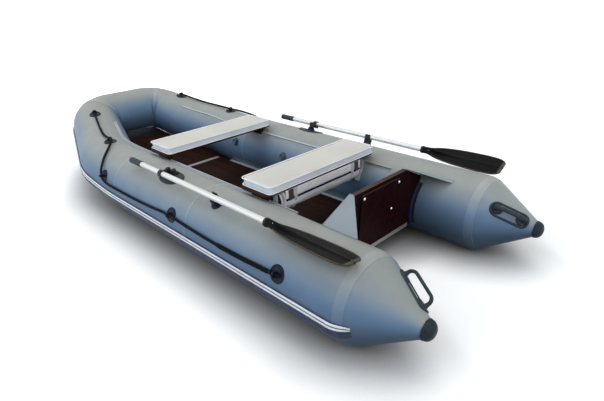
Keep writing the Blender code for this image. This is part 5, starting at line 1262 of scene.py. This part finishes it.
BLADE_FORE, BLADE_LONG, BLADE_HALF_WIDE, SOCKET_RADIUS, BLADE_RIM_UP = 0.85, 0.48, 0.0645, 0.0203, 0.0018
BLADE_UNDER, RIM_FROM, RIM_INSIDE, RIM_END = 0.85, 0.915, 0.91, 0.962
BLADE_HALF = (  # share of the half width, height over the middle, and 1 on the rim or 2 on the spine
    (1.0, 0.0, 1), (0.999, 0.0022, 1), (0.985, 0.0036, 1), (0.945, 0.0039, 1), (0.915, 0.0030, 1),
    (0.895, 0.0013, 0), (0.70, 0.0012, 0), (0.50, 0.0012, 0), (0.30, 0.0012, 0), (0.17, 0.0014, 0),
    (0.12, 0.0024, 2), (0.065, 0.0052, 2), (0.0, 0.0062, 2),
)
BLADE_OUTLINE = (  # share of the length, and share of the width there
    (0.00, 0.34), (0.04, 0.38), (0.10, 0.48), (0.19, 0.62), (0.30, 0.78), (0.44, 0.91), (0.60, 0.975),
    (0.77, 1.0), (0.88, 0.965), (0.93, 0.90), (0.965, 0.79), (0.985, 0.68), (0.995, 0.58), (1.0, 0.48),
)


def eased_step(value, start, end):
    """0 before a start and 1 after an end, with an even run between them."""
    share = min(max((value - start) / (end - start), 0), 1)
    return share * share * (3 - 2 * share)


def blade_sections():
    """Socket, neck and blade: rings of (across, up) that spread and flatten along the oar."""
    stops = []
    for (a, wa), (b, wb) in zip(BLADE_OUTLINE, BLADE_OUTLINE[1:]):
        stops += [(a + (b - a) * k / 3, wa + (wb - wa) * k / 3) for k in range(3)]
    rings = []
    last = len(BLADE_HALF) - 1
    for share, width_share in stops + [BLADE_OUTLINE[-1]]:
        half = BLADE_HALF_WIDE * width_share
        flat, low = eased_step(share, 0.02, 0.22), eased_step(share, 0.06, 0.62)
        end_rim = BLADE_RIM_UP * eased_step(share, 0.955, 0.970) * (1 - eased_step(share, 0.985, 1.0))
        upper = []
        for i, (across, up, kind) in enumerate(BLADE_HALF):
            turned = math.radians(90 * i / last)
            settle = low if kind == 2 else flat
            y = SOCKET_RADIUS * math.cos(turned) * (1 - flat) + half * across * flat
            z = SOCKET_RADIUS * math.sin(turned) * (1 - settle) + up * settle + (end_rim if kind != 1 else 0)
            upper.append((y, z))
        ring = upper + [(-y, z) for y, z in upper[-2::-1]]
        ring += [(y, -BLADE_UNDER * z) for y, z in ring[-2:0:-1]]
        rings.append((BLADE_FORE + BLADE_LONG * share, ring))
    return rings


SHAFT_STOPS = (-0.2, -0.05, 0.1, 0.25, 0.4495, 0.4505, 0.4590, 0.4600, 0.6, 0.75)
SHAFT = [(-SHAFT_FORE, SHAFT_RADIUS - 0.001), (-SHAFT_FORE + 0.001, SHAFT_RADIUS - SHAFT_UNDER)]
SHAFT += [(x, SHAFT_RADIUS - SHAFT_UNDER) for x in SHAFT_STOPS]
SHAFT += [(SHAFT_AFT - 0.001, SHAFT_RADIUS - SHAFT_UNDER), (SHAFT_AFT, SHAFT_RADIUS - 0.001)]
GRIP_FORE, GRIP_RIBBED, GRIP_RIBS, GRIP_RIB_LONG, GRIP_HOLLOW = -0.327, 0.090, 22, 0.0021, 0.0006
GRIP = [(-0.3417, 0.0105), (-0.3412, 0.0140), (-0.3385, 0.0168), (-0.333, 0.0183)]
for k in range(GRIP_RIBS):
    x = GRIP_FORE + GRIP_RIBBED * k / (GRIP_RIBS - 1)
    hollow = GRIP_HOLLOW * math.sin(math.pi * k / (GRIP_RIBS - 1))
    GRIP += [(x, 0.0176 - hollow), (x + GRIP_RIB_LONG, 0.0181 - hollow)]
GRIP += [(-0.2318, 0.0184), (-0.2255, 0.0184), (-0.2180, 0.0176), (-0.2173, 0.0155)]
COLLAR = ((0.8497, 0.0150), (0.8497, 0.0207), (0.8520, 0.0212), (0.8590, 0.0212), (0.8612, 0.0205))


def set_on(side, name, mesh, finish, node=None, roll=0):
    """Sets a part drawn along X on the axis of the port oar, or mirrored on the starboard one."""
    mesh.transform(Matrix.Translation(OAR_AXIS) @ Matrix.Rotation(math.radians(roll), 4, "X"))
    on_side(mesh, side == "starboard")
    return piece(name, mesh, finish, side + "_oar", stands_for=(node,) if node else ())


BLADE_RINGS = blade_sections()
BLADE_ROLL = {"port": -8, "starboard": -26}
for side, _ in SIDES:
    shaft = along_x(side + "_shaft", SHAFT)
    set_on(side, side + "_shaft", shaft, SHAFT_METAL, side + "_oar_shaft")
    grip = along_x(side + "_grip", GRIP)
    set_on(side, side + "_grip", grip, GRIP_RUBBER, side + "_oar_grip")
    blade_mesh = lofted(side + "_blade", [[Vector((x, y, z)) for y, z in ring] for x, ring in BLADE_RINGS])
    around = len(BLADE_RINGS[0][1])
    # faces on the rim and the blade's end take the painted sheen
    for index, face in enumerate(blade_mesh.polygons[:-2]):
        x, ring = BLADE_RINGS[index // around]
        at_edge = abs(ring[index % around][0]) > RIM_INSIDE * ring[0][0]
        if x > RIM_FROM and (at_edge or x > BLADE_FORE + BLADE_LONG * RIM_END):
            face.material_index = 1
    set_on(side, side + "_blade", blade_mesh, [BLADE_PLASTIC, RIM_SHEEN_PLASTIC],
           side + "_oar_blade", BLADE_ROLL[side])
    collar = along_x(side + "_blade_collar", COLLAR)
    set_on(side, side + "_blade_collar", collar, BLACK_PLASTIC)
    dressed(side + "_oar_ring", BLACK_PLASTIC, 0.0009)

# Each oarlock is an oval rubber patch glued on the tube with a headed pin in its boss.  A
# swivel turns on the pin and carries the stub of the oar's clamp ring.

PATCH_RUBBER = moulded_rubber("patch_rubber", (0.024, 0.026, 0.030), 0.42)
LOCK_X, LOCK_ANGLE = 0.100, 16
LOCK_FOOT = Vector((LOCK_X, -0.55229, 0.39207))
LOCK_NORMAL = Vector((0, -math.sin(math.radians(LOCK_ANGLE)), math.cos(math.radians(LOCK_ANGLE))))
LOCK_INBOARD = LOCK_NORMAL.cross(Vector((1, 0, 0)))
PATCH_LIFT = 0.0008
PATCH_SKIRT = ((1.0, -0.0006), (1.0, 0.0010), (0.965, 0.0022))
PATCH_CREST = (  # share of the size, and share of the rim's height
    (0.93, 1), (0.88, 1), (0.84, 0.70), (0.55, 0.72), (0.42, 0.95), (0.22, 1), (0.03, 1),
)


def patch_mesh(name, length, width, crest, steps=64):
    """A moulded oval patch about 0: a thin skirt, a raised rim and a slightly hollow middle."""
    slices = PATCH_SKIRT + tuple((share, crest * part) for share, part in PATCH_CREST)
    turns = [FULL_TURN * k / steps for k in range(steps)]
    return lofted(name, [
        [Vector((length / 2 * share * math.cos(turned), width / 2 * share * math.sin(turned), height))
         for turned in turns] for share, height in slices])


def wrap(mesh, x, angle):
    """Bends a flat patch round the port tube at a place and an angle."""
    for vertex in mesh.vertices:
        along, across, height = vertex.co
        section = section_at(x + along)
        vertex.co = section.point(angle + math.degrees(across / section.radius), height + PATCH_LIFT)
    bm = bmesh.new()
    bm.from_mesh(mesh)
    bmesh.ops.recalc_face_normals(bm, faces=bm.faces)
    bm.to_mesh(mesh)
    bm.free()
    return mesh


def by_lock(along, inboard):
    """A place on the foot of the lock's pin, along the boat and inboard of it."""
    return LOCK_FOOT + Vector((along, 0, 0)) + LOCK_INBOARD * inboard


LOCK_POST = (
    (0.0272, 0.0036), (0.0268, 0.0062), (0.0250, 0.0078), (0.0220, 0.0100), (0.0192, 0.0200),
    (0.0176, 0.0213), (0.0066, 0.0213), (0.0064, 0.0520), (0.0108, 0.0523), (0.0110, 0.0545),
    (0.0100, 0.0560), (0.0075, 0.0568), (0.0058, 0.0562), (0.0050, 0.0556), (0.0004, 0.0556),
)
LOCK_KNOB = (
    (0.0060, 0.0250), (0.0066, 0.0330), (0.0120, 0.0336), (0.0142, 0.0352), (0.0146, 0.0400),
    (0.0142, 0.0470), (0.0120, 0.0488), (0.0080, 0.0492), (0.0072, 0.0476), (0.0004, 0.0474),
)
LOCK_THUMB = ((0.0078, 0.0300), (0.0090, 0.0340), (0.0090, 0.0400), (0.0070, 0.0424), (0.0004, 0.0430))
LATCH_PATH = ((0.006, 0.004), (0.020, 0.008), (0.034, 0.012), (0.048, 0.014), (0.060, 0.013), (0.069, 0.009))
LATCH_OUTLINE = ((-1, -0.5), (-0.8, -1), (0.8, -1), (1, -0.5), (1, 0.5), (0.8, 1), (-0.8, 1), (-1, 0.5))
LATCH_HALF_WIDE, LATCH_HALF_THICK, LATCH_UP = 0.0095, 0.0040, 0.0295
AHEAD = Vector((1, 0, 0))
latch_shape = [(LATCH_HALF_WIDE * u, LATCH_HALF_THICK * v) for u, v in LATCH_OUTLINE]
for side, flip in SIDES:
    body = side + "_swivel"
    base = wrap(patch_mesh(side + "_lock_patch", 0.2095, 0.1115, 0.0048), LOCK_X, LOCK_ANGLE)
    piece(side + "_lock_patch", on_side(base, flip), PATCH_RUBBER)
    post = placed(turned_solid(side + "_lock_post", LOCK_POST, 40), LOCK_FOOT, AHEAD, LOCK_NORMAL, flip)
    piece(side + "_lock_post", post, BLACK_RUBBER, stands_for=(side + "_oarlock_base",))
    dressed(side + "_oarlock_swivel", BLACK_PLASTIC, 0.0014, 3)
    knob_rings = turned_rings(LOCK_KNOB, 48)
    for ring in knob_rings[2:7]:
        for k, point in enumerate(ring):
            point.xy = point.xy * (1 - 0.06 * (k % 6 < 3))
    knob = lofted(side + "_lock_knob", knob_rings)
    placed(knob, by_lock(0.033, 0.012), AHEAD, LOCK_NORMAL, flip)
    piece(side + "_lock_knob", knob, BLACK_PLASTIC, body)
    reach = [by_lock(a, b) + LOCK_NORMAL * LATCH_UP for a, b in LATCH_PATH]
    latch = swept(side + "_lock_latch", reach, latch_shape, LOCK_NORMAL)
    piece(side + "_lock_latch", on_side(latch, flip), BLACK_PLASTIC, body)
    thumb = turned_solid(side + "_lock_thumb", LOCK_THUMB, 32)
    placed(thumb, by_lock(0.060, 0.013), AHEAD, LOCK_NORMAL, flip)
    piece(side + "_lock_thumb", thumb, BLACK_PLASTIC, body)

# A moulded rubber clip is glued on each tube aft of the lock.  Its open jaws hold the shaft
# of the stowed oar.

for side in ("port", "starboard"):
    dressed(side + "_oar_clip", BLACK_RUBBER, 0.0012)

# A grab line of braided rope runs along each side through the rubber loops of five eyelets,
# whose round patches are glued on the tube.  Its ends are whipped with twine.

ROPE_RADIUS, ROPE_UP, ROPE_UP_LEAST, ROPE_TWIST = 0.0078, 0.0181, 0.0086, 0.021
ROPE_STEPS, ROPE_AROUND = 560, 14
LOOP_UP, LOOP_RADIUS, LOOP_WIRE, LOOP_STEPS = 0.0175, 0.0125, 0.0044, 36
ROPE_ROUTE = (  # place along the boat, angle round the tube, and share of the height in a loop
    (-1.305, 2.6, 1.0), (-1.285, 3.0, 1.0), (-1.255, 3.4, 1.0), (-1.15, 3.5, 0.8), (-1.03, 3.2, 0.7),
    (-0.90, 2.6, 0.75), (-0.80, 2.0, 0.95), (-0.765, 2.0, 1.0), (-0.735, 4.0, 1.0), (-0.70, 9.0, 0.9),
    (-0.655, 20, 0.6), (-0.605, 37, 0.6), (-0.562, 53, 0.75), (-0.536, 62, 0.98), (-0.515, 68.0, 1.0),
    (-0.493, 72.2, 0.98), (-0.43, 76, 0.75), (-0.28, 76.5, 0.6), (-0.08, 75.6, 0.6), (0.10, 73.2, 0.65),
    (0.22, 70.6, 0.85), (0.285, 70.0, 1.0), (0.35, 70.6, 0.85), (0.47, 72.6, 0.65), (0.66, 74.0, 0.6),
    (0.86, 73.4, 0.6), (1.00, 71.3, 0.8), (1.07, 70.2, 1.0), (1.094, 70.0, 1.0), (1.118, 70.0, 1.0),
)
EYELETS = (  # name, place along the boat, and angle round the tube
    ("bow", -1.285, 3), ("shoulder", -0.765, 2),
    ("fore", -0.515, 68), ("middle", 0.285, 70), ("aft", 1.094, 70),
)
WHIPPINGS = (  # name, first and last step of the rope, thickness over it, and pitch of the turns
    ("bow", 1, 9, 0.0008, 0.0022), ("stern", -10, -1, 0.0008, 0.0022), ("splice", -92, -14, 0.0030, 0.030),
)


def braided(name, dark, light, strands):
    """Polyester rope: crossed strands in relief with paler worn crowns."""
    made = coated(name, dark, 0.80, Specular_IOR_Level=0.10)
    laid = grain(made, strands, 1.2, wave=True)
    shaded(made, grain(made, 170, 3), [(0.35, dark), (0.75, light)])
    embossed(made, laid, 0.0015, 0.7)
    embossed(made, grain(made, strands, 1.2, (1, -1, -1), wave=True), 0.0015, 0.7)
    return made


ROPE = braided("black_rope", (0.006, 0.007, 0.010), (0.018, 0.019, 0.025), 75)
TWINE = braided("whipping_twine", (0.006, 0.007, 0.010), (0.020, 0.021, 0.026), 160)


def smooth_route(points, count):
    """Evenly spread points of a smooth curve through chosen ones."""
    dense = []
    for i in range(len(points) - 1):
        before, a = points[max(i - 1, 0)], points[i]
        b, after = points[i + 1], points[min(i + 2, len(points) - 1)]
        for step in range(12):
            t = step / 12
            dense.append((2 * a + (b - before) * t + (2 * before - 5 * a + 4 * b - after) * t * t
                          + (3 * a - before - 3 * b + after) * t * t * t) / 2)
    dense.append(points[-1])
    travelled = [0.0]
    for a, b in zip(dense, dense[1:]):
        travelled.append(travelled[-1] + (b - a).length)
    spread, k = [], 0
    for n in range(count):
        want = travelled[-1] * n / (count - 1)
        while k < len(dense) - 2 and travelled[k + 1] < want:
            k += 1
        share = (want - travelled[k]) / max(travelled[k + 1] - travelled[k], 1e-9)
        spread.append(dense[k].lerp(dense[k + 1], min(share, 1)))
    return spread


rope_points = []
for x, angle, share in ROPE_ROUTE:
    rope_points.append(section_at(x).point(angle, max(ROPE_UP_LEAST, ROPE_UP * share)))
rope_line = smooth_route(rope_points, ROPE_STEPS)


def rope_mesh(name, line, radius, strands, pitch):
    """A rope along a line, its strands laid round it in a long twist."""
    rings, travelled = [], 0.0
    guide = UPRIGHT
    for i, point in enumerate(line):
        ahead_of, behind = line[min(i + 1, len(line) - 1)], line[max(i - 1, 0)]
        along = (ahead_of - behind).normalized()
        across = along.cross(guide).normalized()
        guide = across.cross(along).normalized()
        travelled += (point - behind).length
        twist = FULL_TURN * travelled / pitch / strands
        ring = []
        for k in range(ROPE_AROUND):
            turned = FULL_TURN * k / ROPE_AROUND
            swell = 1 - 0.07 * (0.5 + 0.5 * math.cos(strands * (turned - twist)))
            swell -= 0.05 * (0.5 + 0.5 * math.cos(strands * (turned + twist)))
            ring.append(point + (across * math.cos(turned) + guide * math.sin(turned)) * radius * swell)
        rings.append(ring)
    return lofted(name, rings)


def loop_ring(name, radius, wire):
    """A rubber loop about X, thicker where it is rooted in its patch."""
    rings = []
    turns = [FULL_TURN * m / ROPE_AROUND for m in range(ROPE_AROUND)]
    for k in range(LOOP_STEPS):
        turned = FULL_TURN * k / LOOP_STEPS
        outward = Vector((0, math.cos(turned), math.sin(turned)))
        thick = wire * (0.94 + 0.10 * max(-math.sin(turned), 0))
        rings.append([outward * (radius + thick * math.cos(a)) + Vector((thick * 1.02 * math.sin(a), 0, 0))
                      for a in turns])
    return lofted(name, rings, round_trip=True)


for side, flip in SIDES:
    rope = on_side(rope_mesh(side + "_grab_line", rope_line, ROPE_RADIUS, 3, ROPE_TWIST), flip)
    piece(side + "_grab_line", rope, ROPE, stands_for=(side + "_lifeline",))
    for end, start, stop, thick, pitch in WHIPPINGS:
        twine = rope_mesh(f"{side}_whipping_{end}", rope_line[start:stop], ROPE_RADIUS + thick, 1, pitch)
        piece(f"{side}_whipping_{end}", on_side(twine, flip), TWINE)
    for name, x, angle in EYELETS:
        disc_name, loop_name = f"{side}_{name}_loop_patch", f"{side}_{name}_rope_loop"
        disc = on_side(wrap(patch_mesh(disc_name, 0.0815, 0.0815, 0.0043, 48), x, angle), flip)
        piece(disc_name, disc, BLACK_RUBBER, stands_for=(f"{side}_{name}_eyelet",))
        section = section_at(x)
        centre = section.point(angle, 0.0006 + LOOP_UP)
        nearest = min(range(1, len(rope_line) - 1), key=lambda i: (rope_line[i] - centre).length)
        heading = rope_line[nearest + 1] - rope_line[nearest - 1]
        loop = loop_ring(loop_name, LOOP_RADIUS, LOOP_WIRE)
        placed(loop, centre, heading, section.direction(angle), flip)
        piece(loop_name, loop, BLACK_RUBBER)

# A moulded rubber handle is glued on the inner side of each cone for carrying: an open oval
# base with a ribbed grip that arches over it.

HANDLE_RUBBER = moulded_rubber("handle_rubber", (0.030, 0.040, 0.052), 0.40)
HANDLE_ANGLE, HANDLE_MID, HANDLE_LONG, HANDLE_WIDE, HANDLE_LIFT = -47, 0.1738, 0.1995, 0.0795, 0.0006
CONE_SLOPE = math.atan2(TUBE_RADIUS - CONE_END_RADIUS, CONE_END - STERN_SEAM)
HANDLE_BASE = (  # how far in from the outline, and how high
    (0, -0.0004), (0, 0.0018), (0.0012, 0.0036), (0.0032, 0.0050), (0.0062, 0.0054), (0.0092, 0.0050),
    (0.0112, 0.0036), (0.0122, 0.0018), (0.0124, -0.0004),
)
HANDLE_BOSS = ((0.0262, -0.0050), (0.0262, 0.0022), (0.0250, 0.0040), (0.0200, 0.0056), (0.0004, 0.0064))
HANDLE_BOSS_ASIDE = 0.0610
ARCH_HALF, ARCH_HIGH, ARCH_BEND, ARCH_BEND_STEPS, ARCH_STEPS, ARCH_AROUND = 0.075, 0.044, 0.0255, 8, 12, 20
ARCH_HALF_WIDE, ARCH_HALF_THICK, ARCH_RIB, ARCH_ROOT, ARCH_ROOT_UP = 0.0112, 0.0070, 0.0004, 0.0055, 0.014


def cone_matrix(distance, angle):
    """A place on the port cone, a distance down its slope: X down the slope and Z out of it."""
    section = section_at(STERN_SEAM + distance * math.cos(CONE_SLOPE))
    radial, aft = section.direction(angle), Vector((1, 0, 0))
    normal = radial * math.cos(CONE_SLOPE) + aft * math.sin(CONE_SLOPE)
    down = aft * math.cos(CONE_SLOPE) - radial * math.sin(CONE_SLOPE)
    turn_to = Matrix((down, normal.cross(down), normal)).transposed().to_4x4()
    return Matrix.Translation(section.point(angle)) @ turn_to


def handle_arch():
    """The grip's middle line, from one foot up, over and down to the other."""
    arch = [Vector((-ARCH_HALF, 0, height)) for height in (0.001, 0.008, ARCH_HIGH - ARCH_BEND)]
    for k in range(1, ARCH_BEND_STEPS + 1):
        turned = math.radians(90 * k / ARCH_BEND_STEPS)
        arch.append(Vector((-ARCH_HALF + ARCH_BEND * (1 - math.cos(turned)), 0,
                            ARCH_HIGH - ARCH_BEND + ARCH_BEND * math.sin(turned))))
    for k in range(1, ARCH_STEPS):
        arch.append(Vector((-ARCH_HALF + ARCH_BEND + (ARCH_HALF - ARCH_BEND) * k / ARCH_STEPS, 0, ARCH_HIGH)))
    return arch + [Vector((0, 0, ARCH_HIGH))] + [Vector((-p.x, 0, p.z)) for p in arch[::-1]]


def handle_grip(name, arch):
    """The ribbed grip round its middle line, wider where it is rooted in the base."""
    rings = []
    across = Vector((0, 1, 0))
    for i, point in enumerate(arch):
        out = across.cross((arch[min(i + 1, len(arch) - 1)] - arch[max(i - 1, 0)]).normalized())
        root = max(0, 1 - point.z / ARCH_ROOT_UP) * ARCH_ROOT
        rib = ARCH_RIB * (1 if i % 2 else -1) if abs(point.x) < ARCH_HALF - ARCH_BEND else 0
        wide, thick = ARCH_HALF_WIDE + 1.6 * root + rib, ARCH_HALF_THICK + root + rib
        turns = [FULL_TURN * m / ARCH_AROUND for m in range(ARCH_AROUND)]
        rings.append([point + across * math.cos(a) * wide + out * math.sin(a) * thick for a in turns])
    return lofted(name, rings)


for side, flip in SIDES:
    rows = []
    for inset, height in HANDLE_BASE:
        row = []
        for across, along in rounded_outline(HANDLE_LONG - 2 * inset, HANDLE_WIDE - 2 * inset,
                                             HANDLE_WIDE / 2 - inset - 0.001, 12):
            section = section_at(STERN_SEAM + (HANDLE_MID + along) * math.cos(CONE_SLOPE))
            turn_by = HANDLE_ANGLE + math.degrees(across / section.radius)
            row.append(cone_matrix(HANDLE_MID + along, turn_by) @ Vector((0, 0, height + HANDLE_LIFT)))
        rows.append(row)
    base = on_side(lofted(side + "_handle_base", rows, round_trip=True), flip)
    piece(side + "_handle_base", base, HANDLE_RUBBER, stands_for=(side + "_cone_handle",))
    grip = handle_grip(side + "_handle_grip", handle_arch())
    grip.transform(cone_matrix(HANDLE_MID, HANDLE_ANGLE))
    piece(side + "_handle_grip", on_side(grip, flip), HANDLE_RUBBER)
    for end, way in (("fore", -1), ("aft", 1)):
        boss = turned_solid(f"{side}_handle_{end}_boss", HANDLE_BOSS, 36)
        boss.transform(cone_matrix(HANDLE_MID + way * HANDLE_BOSS_ASIDE, HANDLE_ANGLE))
        piece(f"{side}_handle_{end}_boss", on_side(boss, flip), HANDLE_RUBBER)

# Inflation valves sit in the tubes' inner walls: a welded plastic flange with a neck, closed
# by a knurled screw cap with a finger bar.

VALVE_PLASTIC = moulded_plastic(
    "valve_plastic", (0.070, 0.100, 0.150), 0.38, 0.25,
    clouds=(18, 5), tones=[(0.3, (0.055, 0.080, 0.125)), (0.75, (0.090, 0.125, 0.180))],
    scuffs=(40, 4), worn=[(0.3, 0.30), (0.75, 0.5)], pores=(500, 2))
VALVES = (("port", 0.070, True), ("starboard_fore", -0.449, False), ("starboard_aft", 0.070, False))
VALVE_ANGLE = -72
VALVE_NECK = (
    (0.0308, -0.0020), (0.0308, 0.0026), (0.0285, 0.0039), (0.0250, 0.0040), (0.0246, 0.0046),
    (0.0200, 0.0046), (0.0190, 0.0040), (0.0176, 0.0040), (0.0176, 0.0073), (0.0004, 0.0073),
)
VALVE_LID = (  # radius, height, and depth of the knurls
    (0.0214, 0.0080, 0), (0.0218, 0.0086, 0.0005), (0.0218, 0.0176, 0.0005), (0.0205, 0.0190, 0),
    (0.0185, 0.0198, 0), (0.0172, 0.0188, 0), (0.0004, 0.0186, 0),
)
LID_AROUND = 96
FINGER_OUTLINE = ((-1, -0.6), (-0.96, -1), (0.96, -1), (1, -0.6), (1, 0.6), (0.96, 1), (-0.96, 1), (-1, 0.6))
FINGER_ROWS = ((0.0180, 1.0), (0.0213, 1.0), (0.0219, 0.9))
FINGER_HALF_LONG, FINGER_HALF_WIDE = 0.0168, 0.0019
for name, x, on_port in VALVES:
    section = section_at(x)
    spot = (section.point(VALVE_ANGLE), section.along, section.direction(VALVE_ANGLE), not on_port)
    flange = placed(turned_solid(name + "_valve_flange", VALVE_NECK, 48), *spot)
    piece(name + "_valve_flange", flange, VALVE_PLASTIC)
    rings = []
    for radius, height, depth in VALVE_LID:
        ring = []
        for k in range(LID_AROUND):
            out = radius - depth * (k % 4 < 2)
            turned = FULL_TURN * k / LID_AROUND
            ring.append(Vector((out * math.cos(turned), out * math.sin(turned), height)))
        rings.append(ring)
    lid = placed(lofted(name + "_valve_lid", rings), *spot)
    piece(name + "_valve_lid", lid, VALVE_PLASTIC, name + "_cap", stands_for=(name + "_valve_cap",))
    rows = [[Vector((FINGER_HALF_LONG * u * share, FINGER_HALF_WIDE * v * share, height))
             for u, v in FINGER_OUTLINE] for height, share in FINGER_ROWS]
    bar = placed(lofted(name + "_valve_bar", rows), *spot)
    piece(name + "_valve_bar", bar, VALVE_PLASTIC, name + "_cap")

bpy.context.view_layer.update()
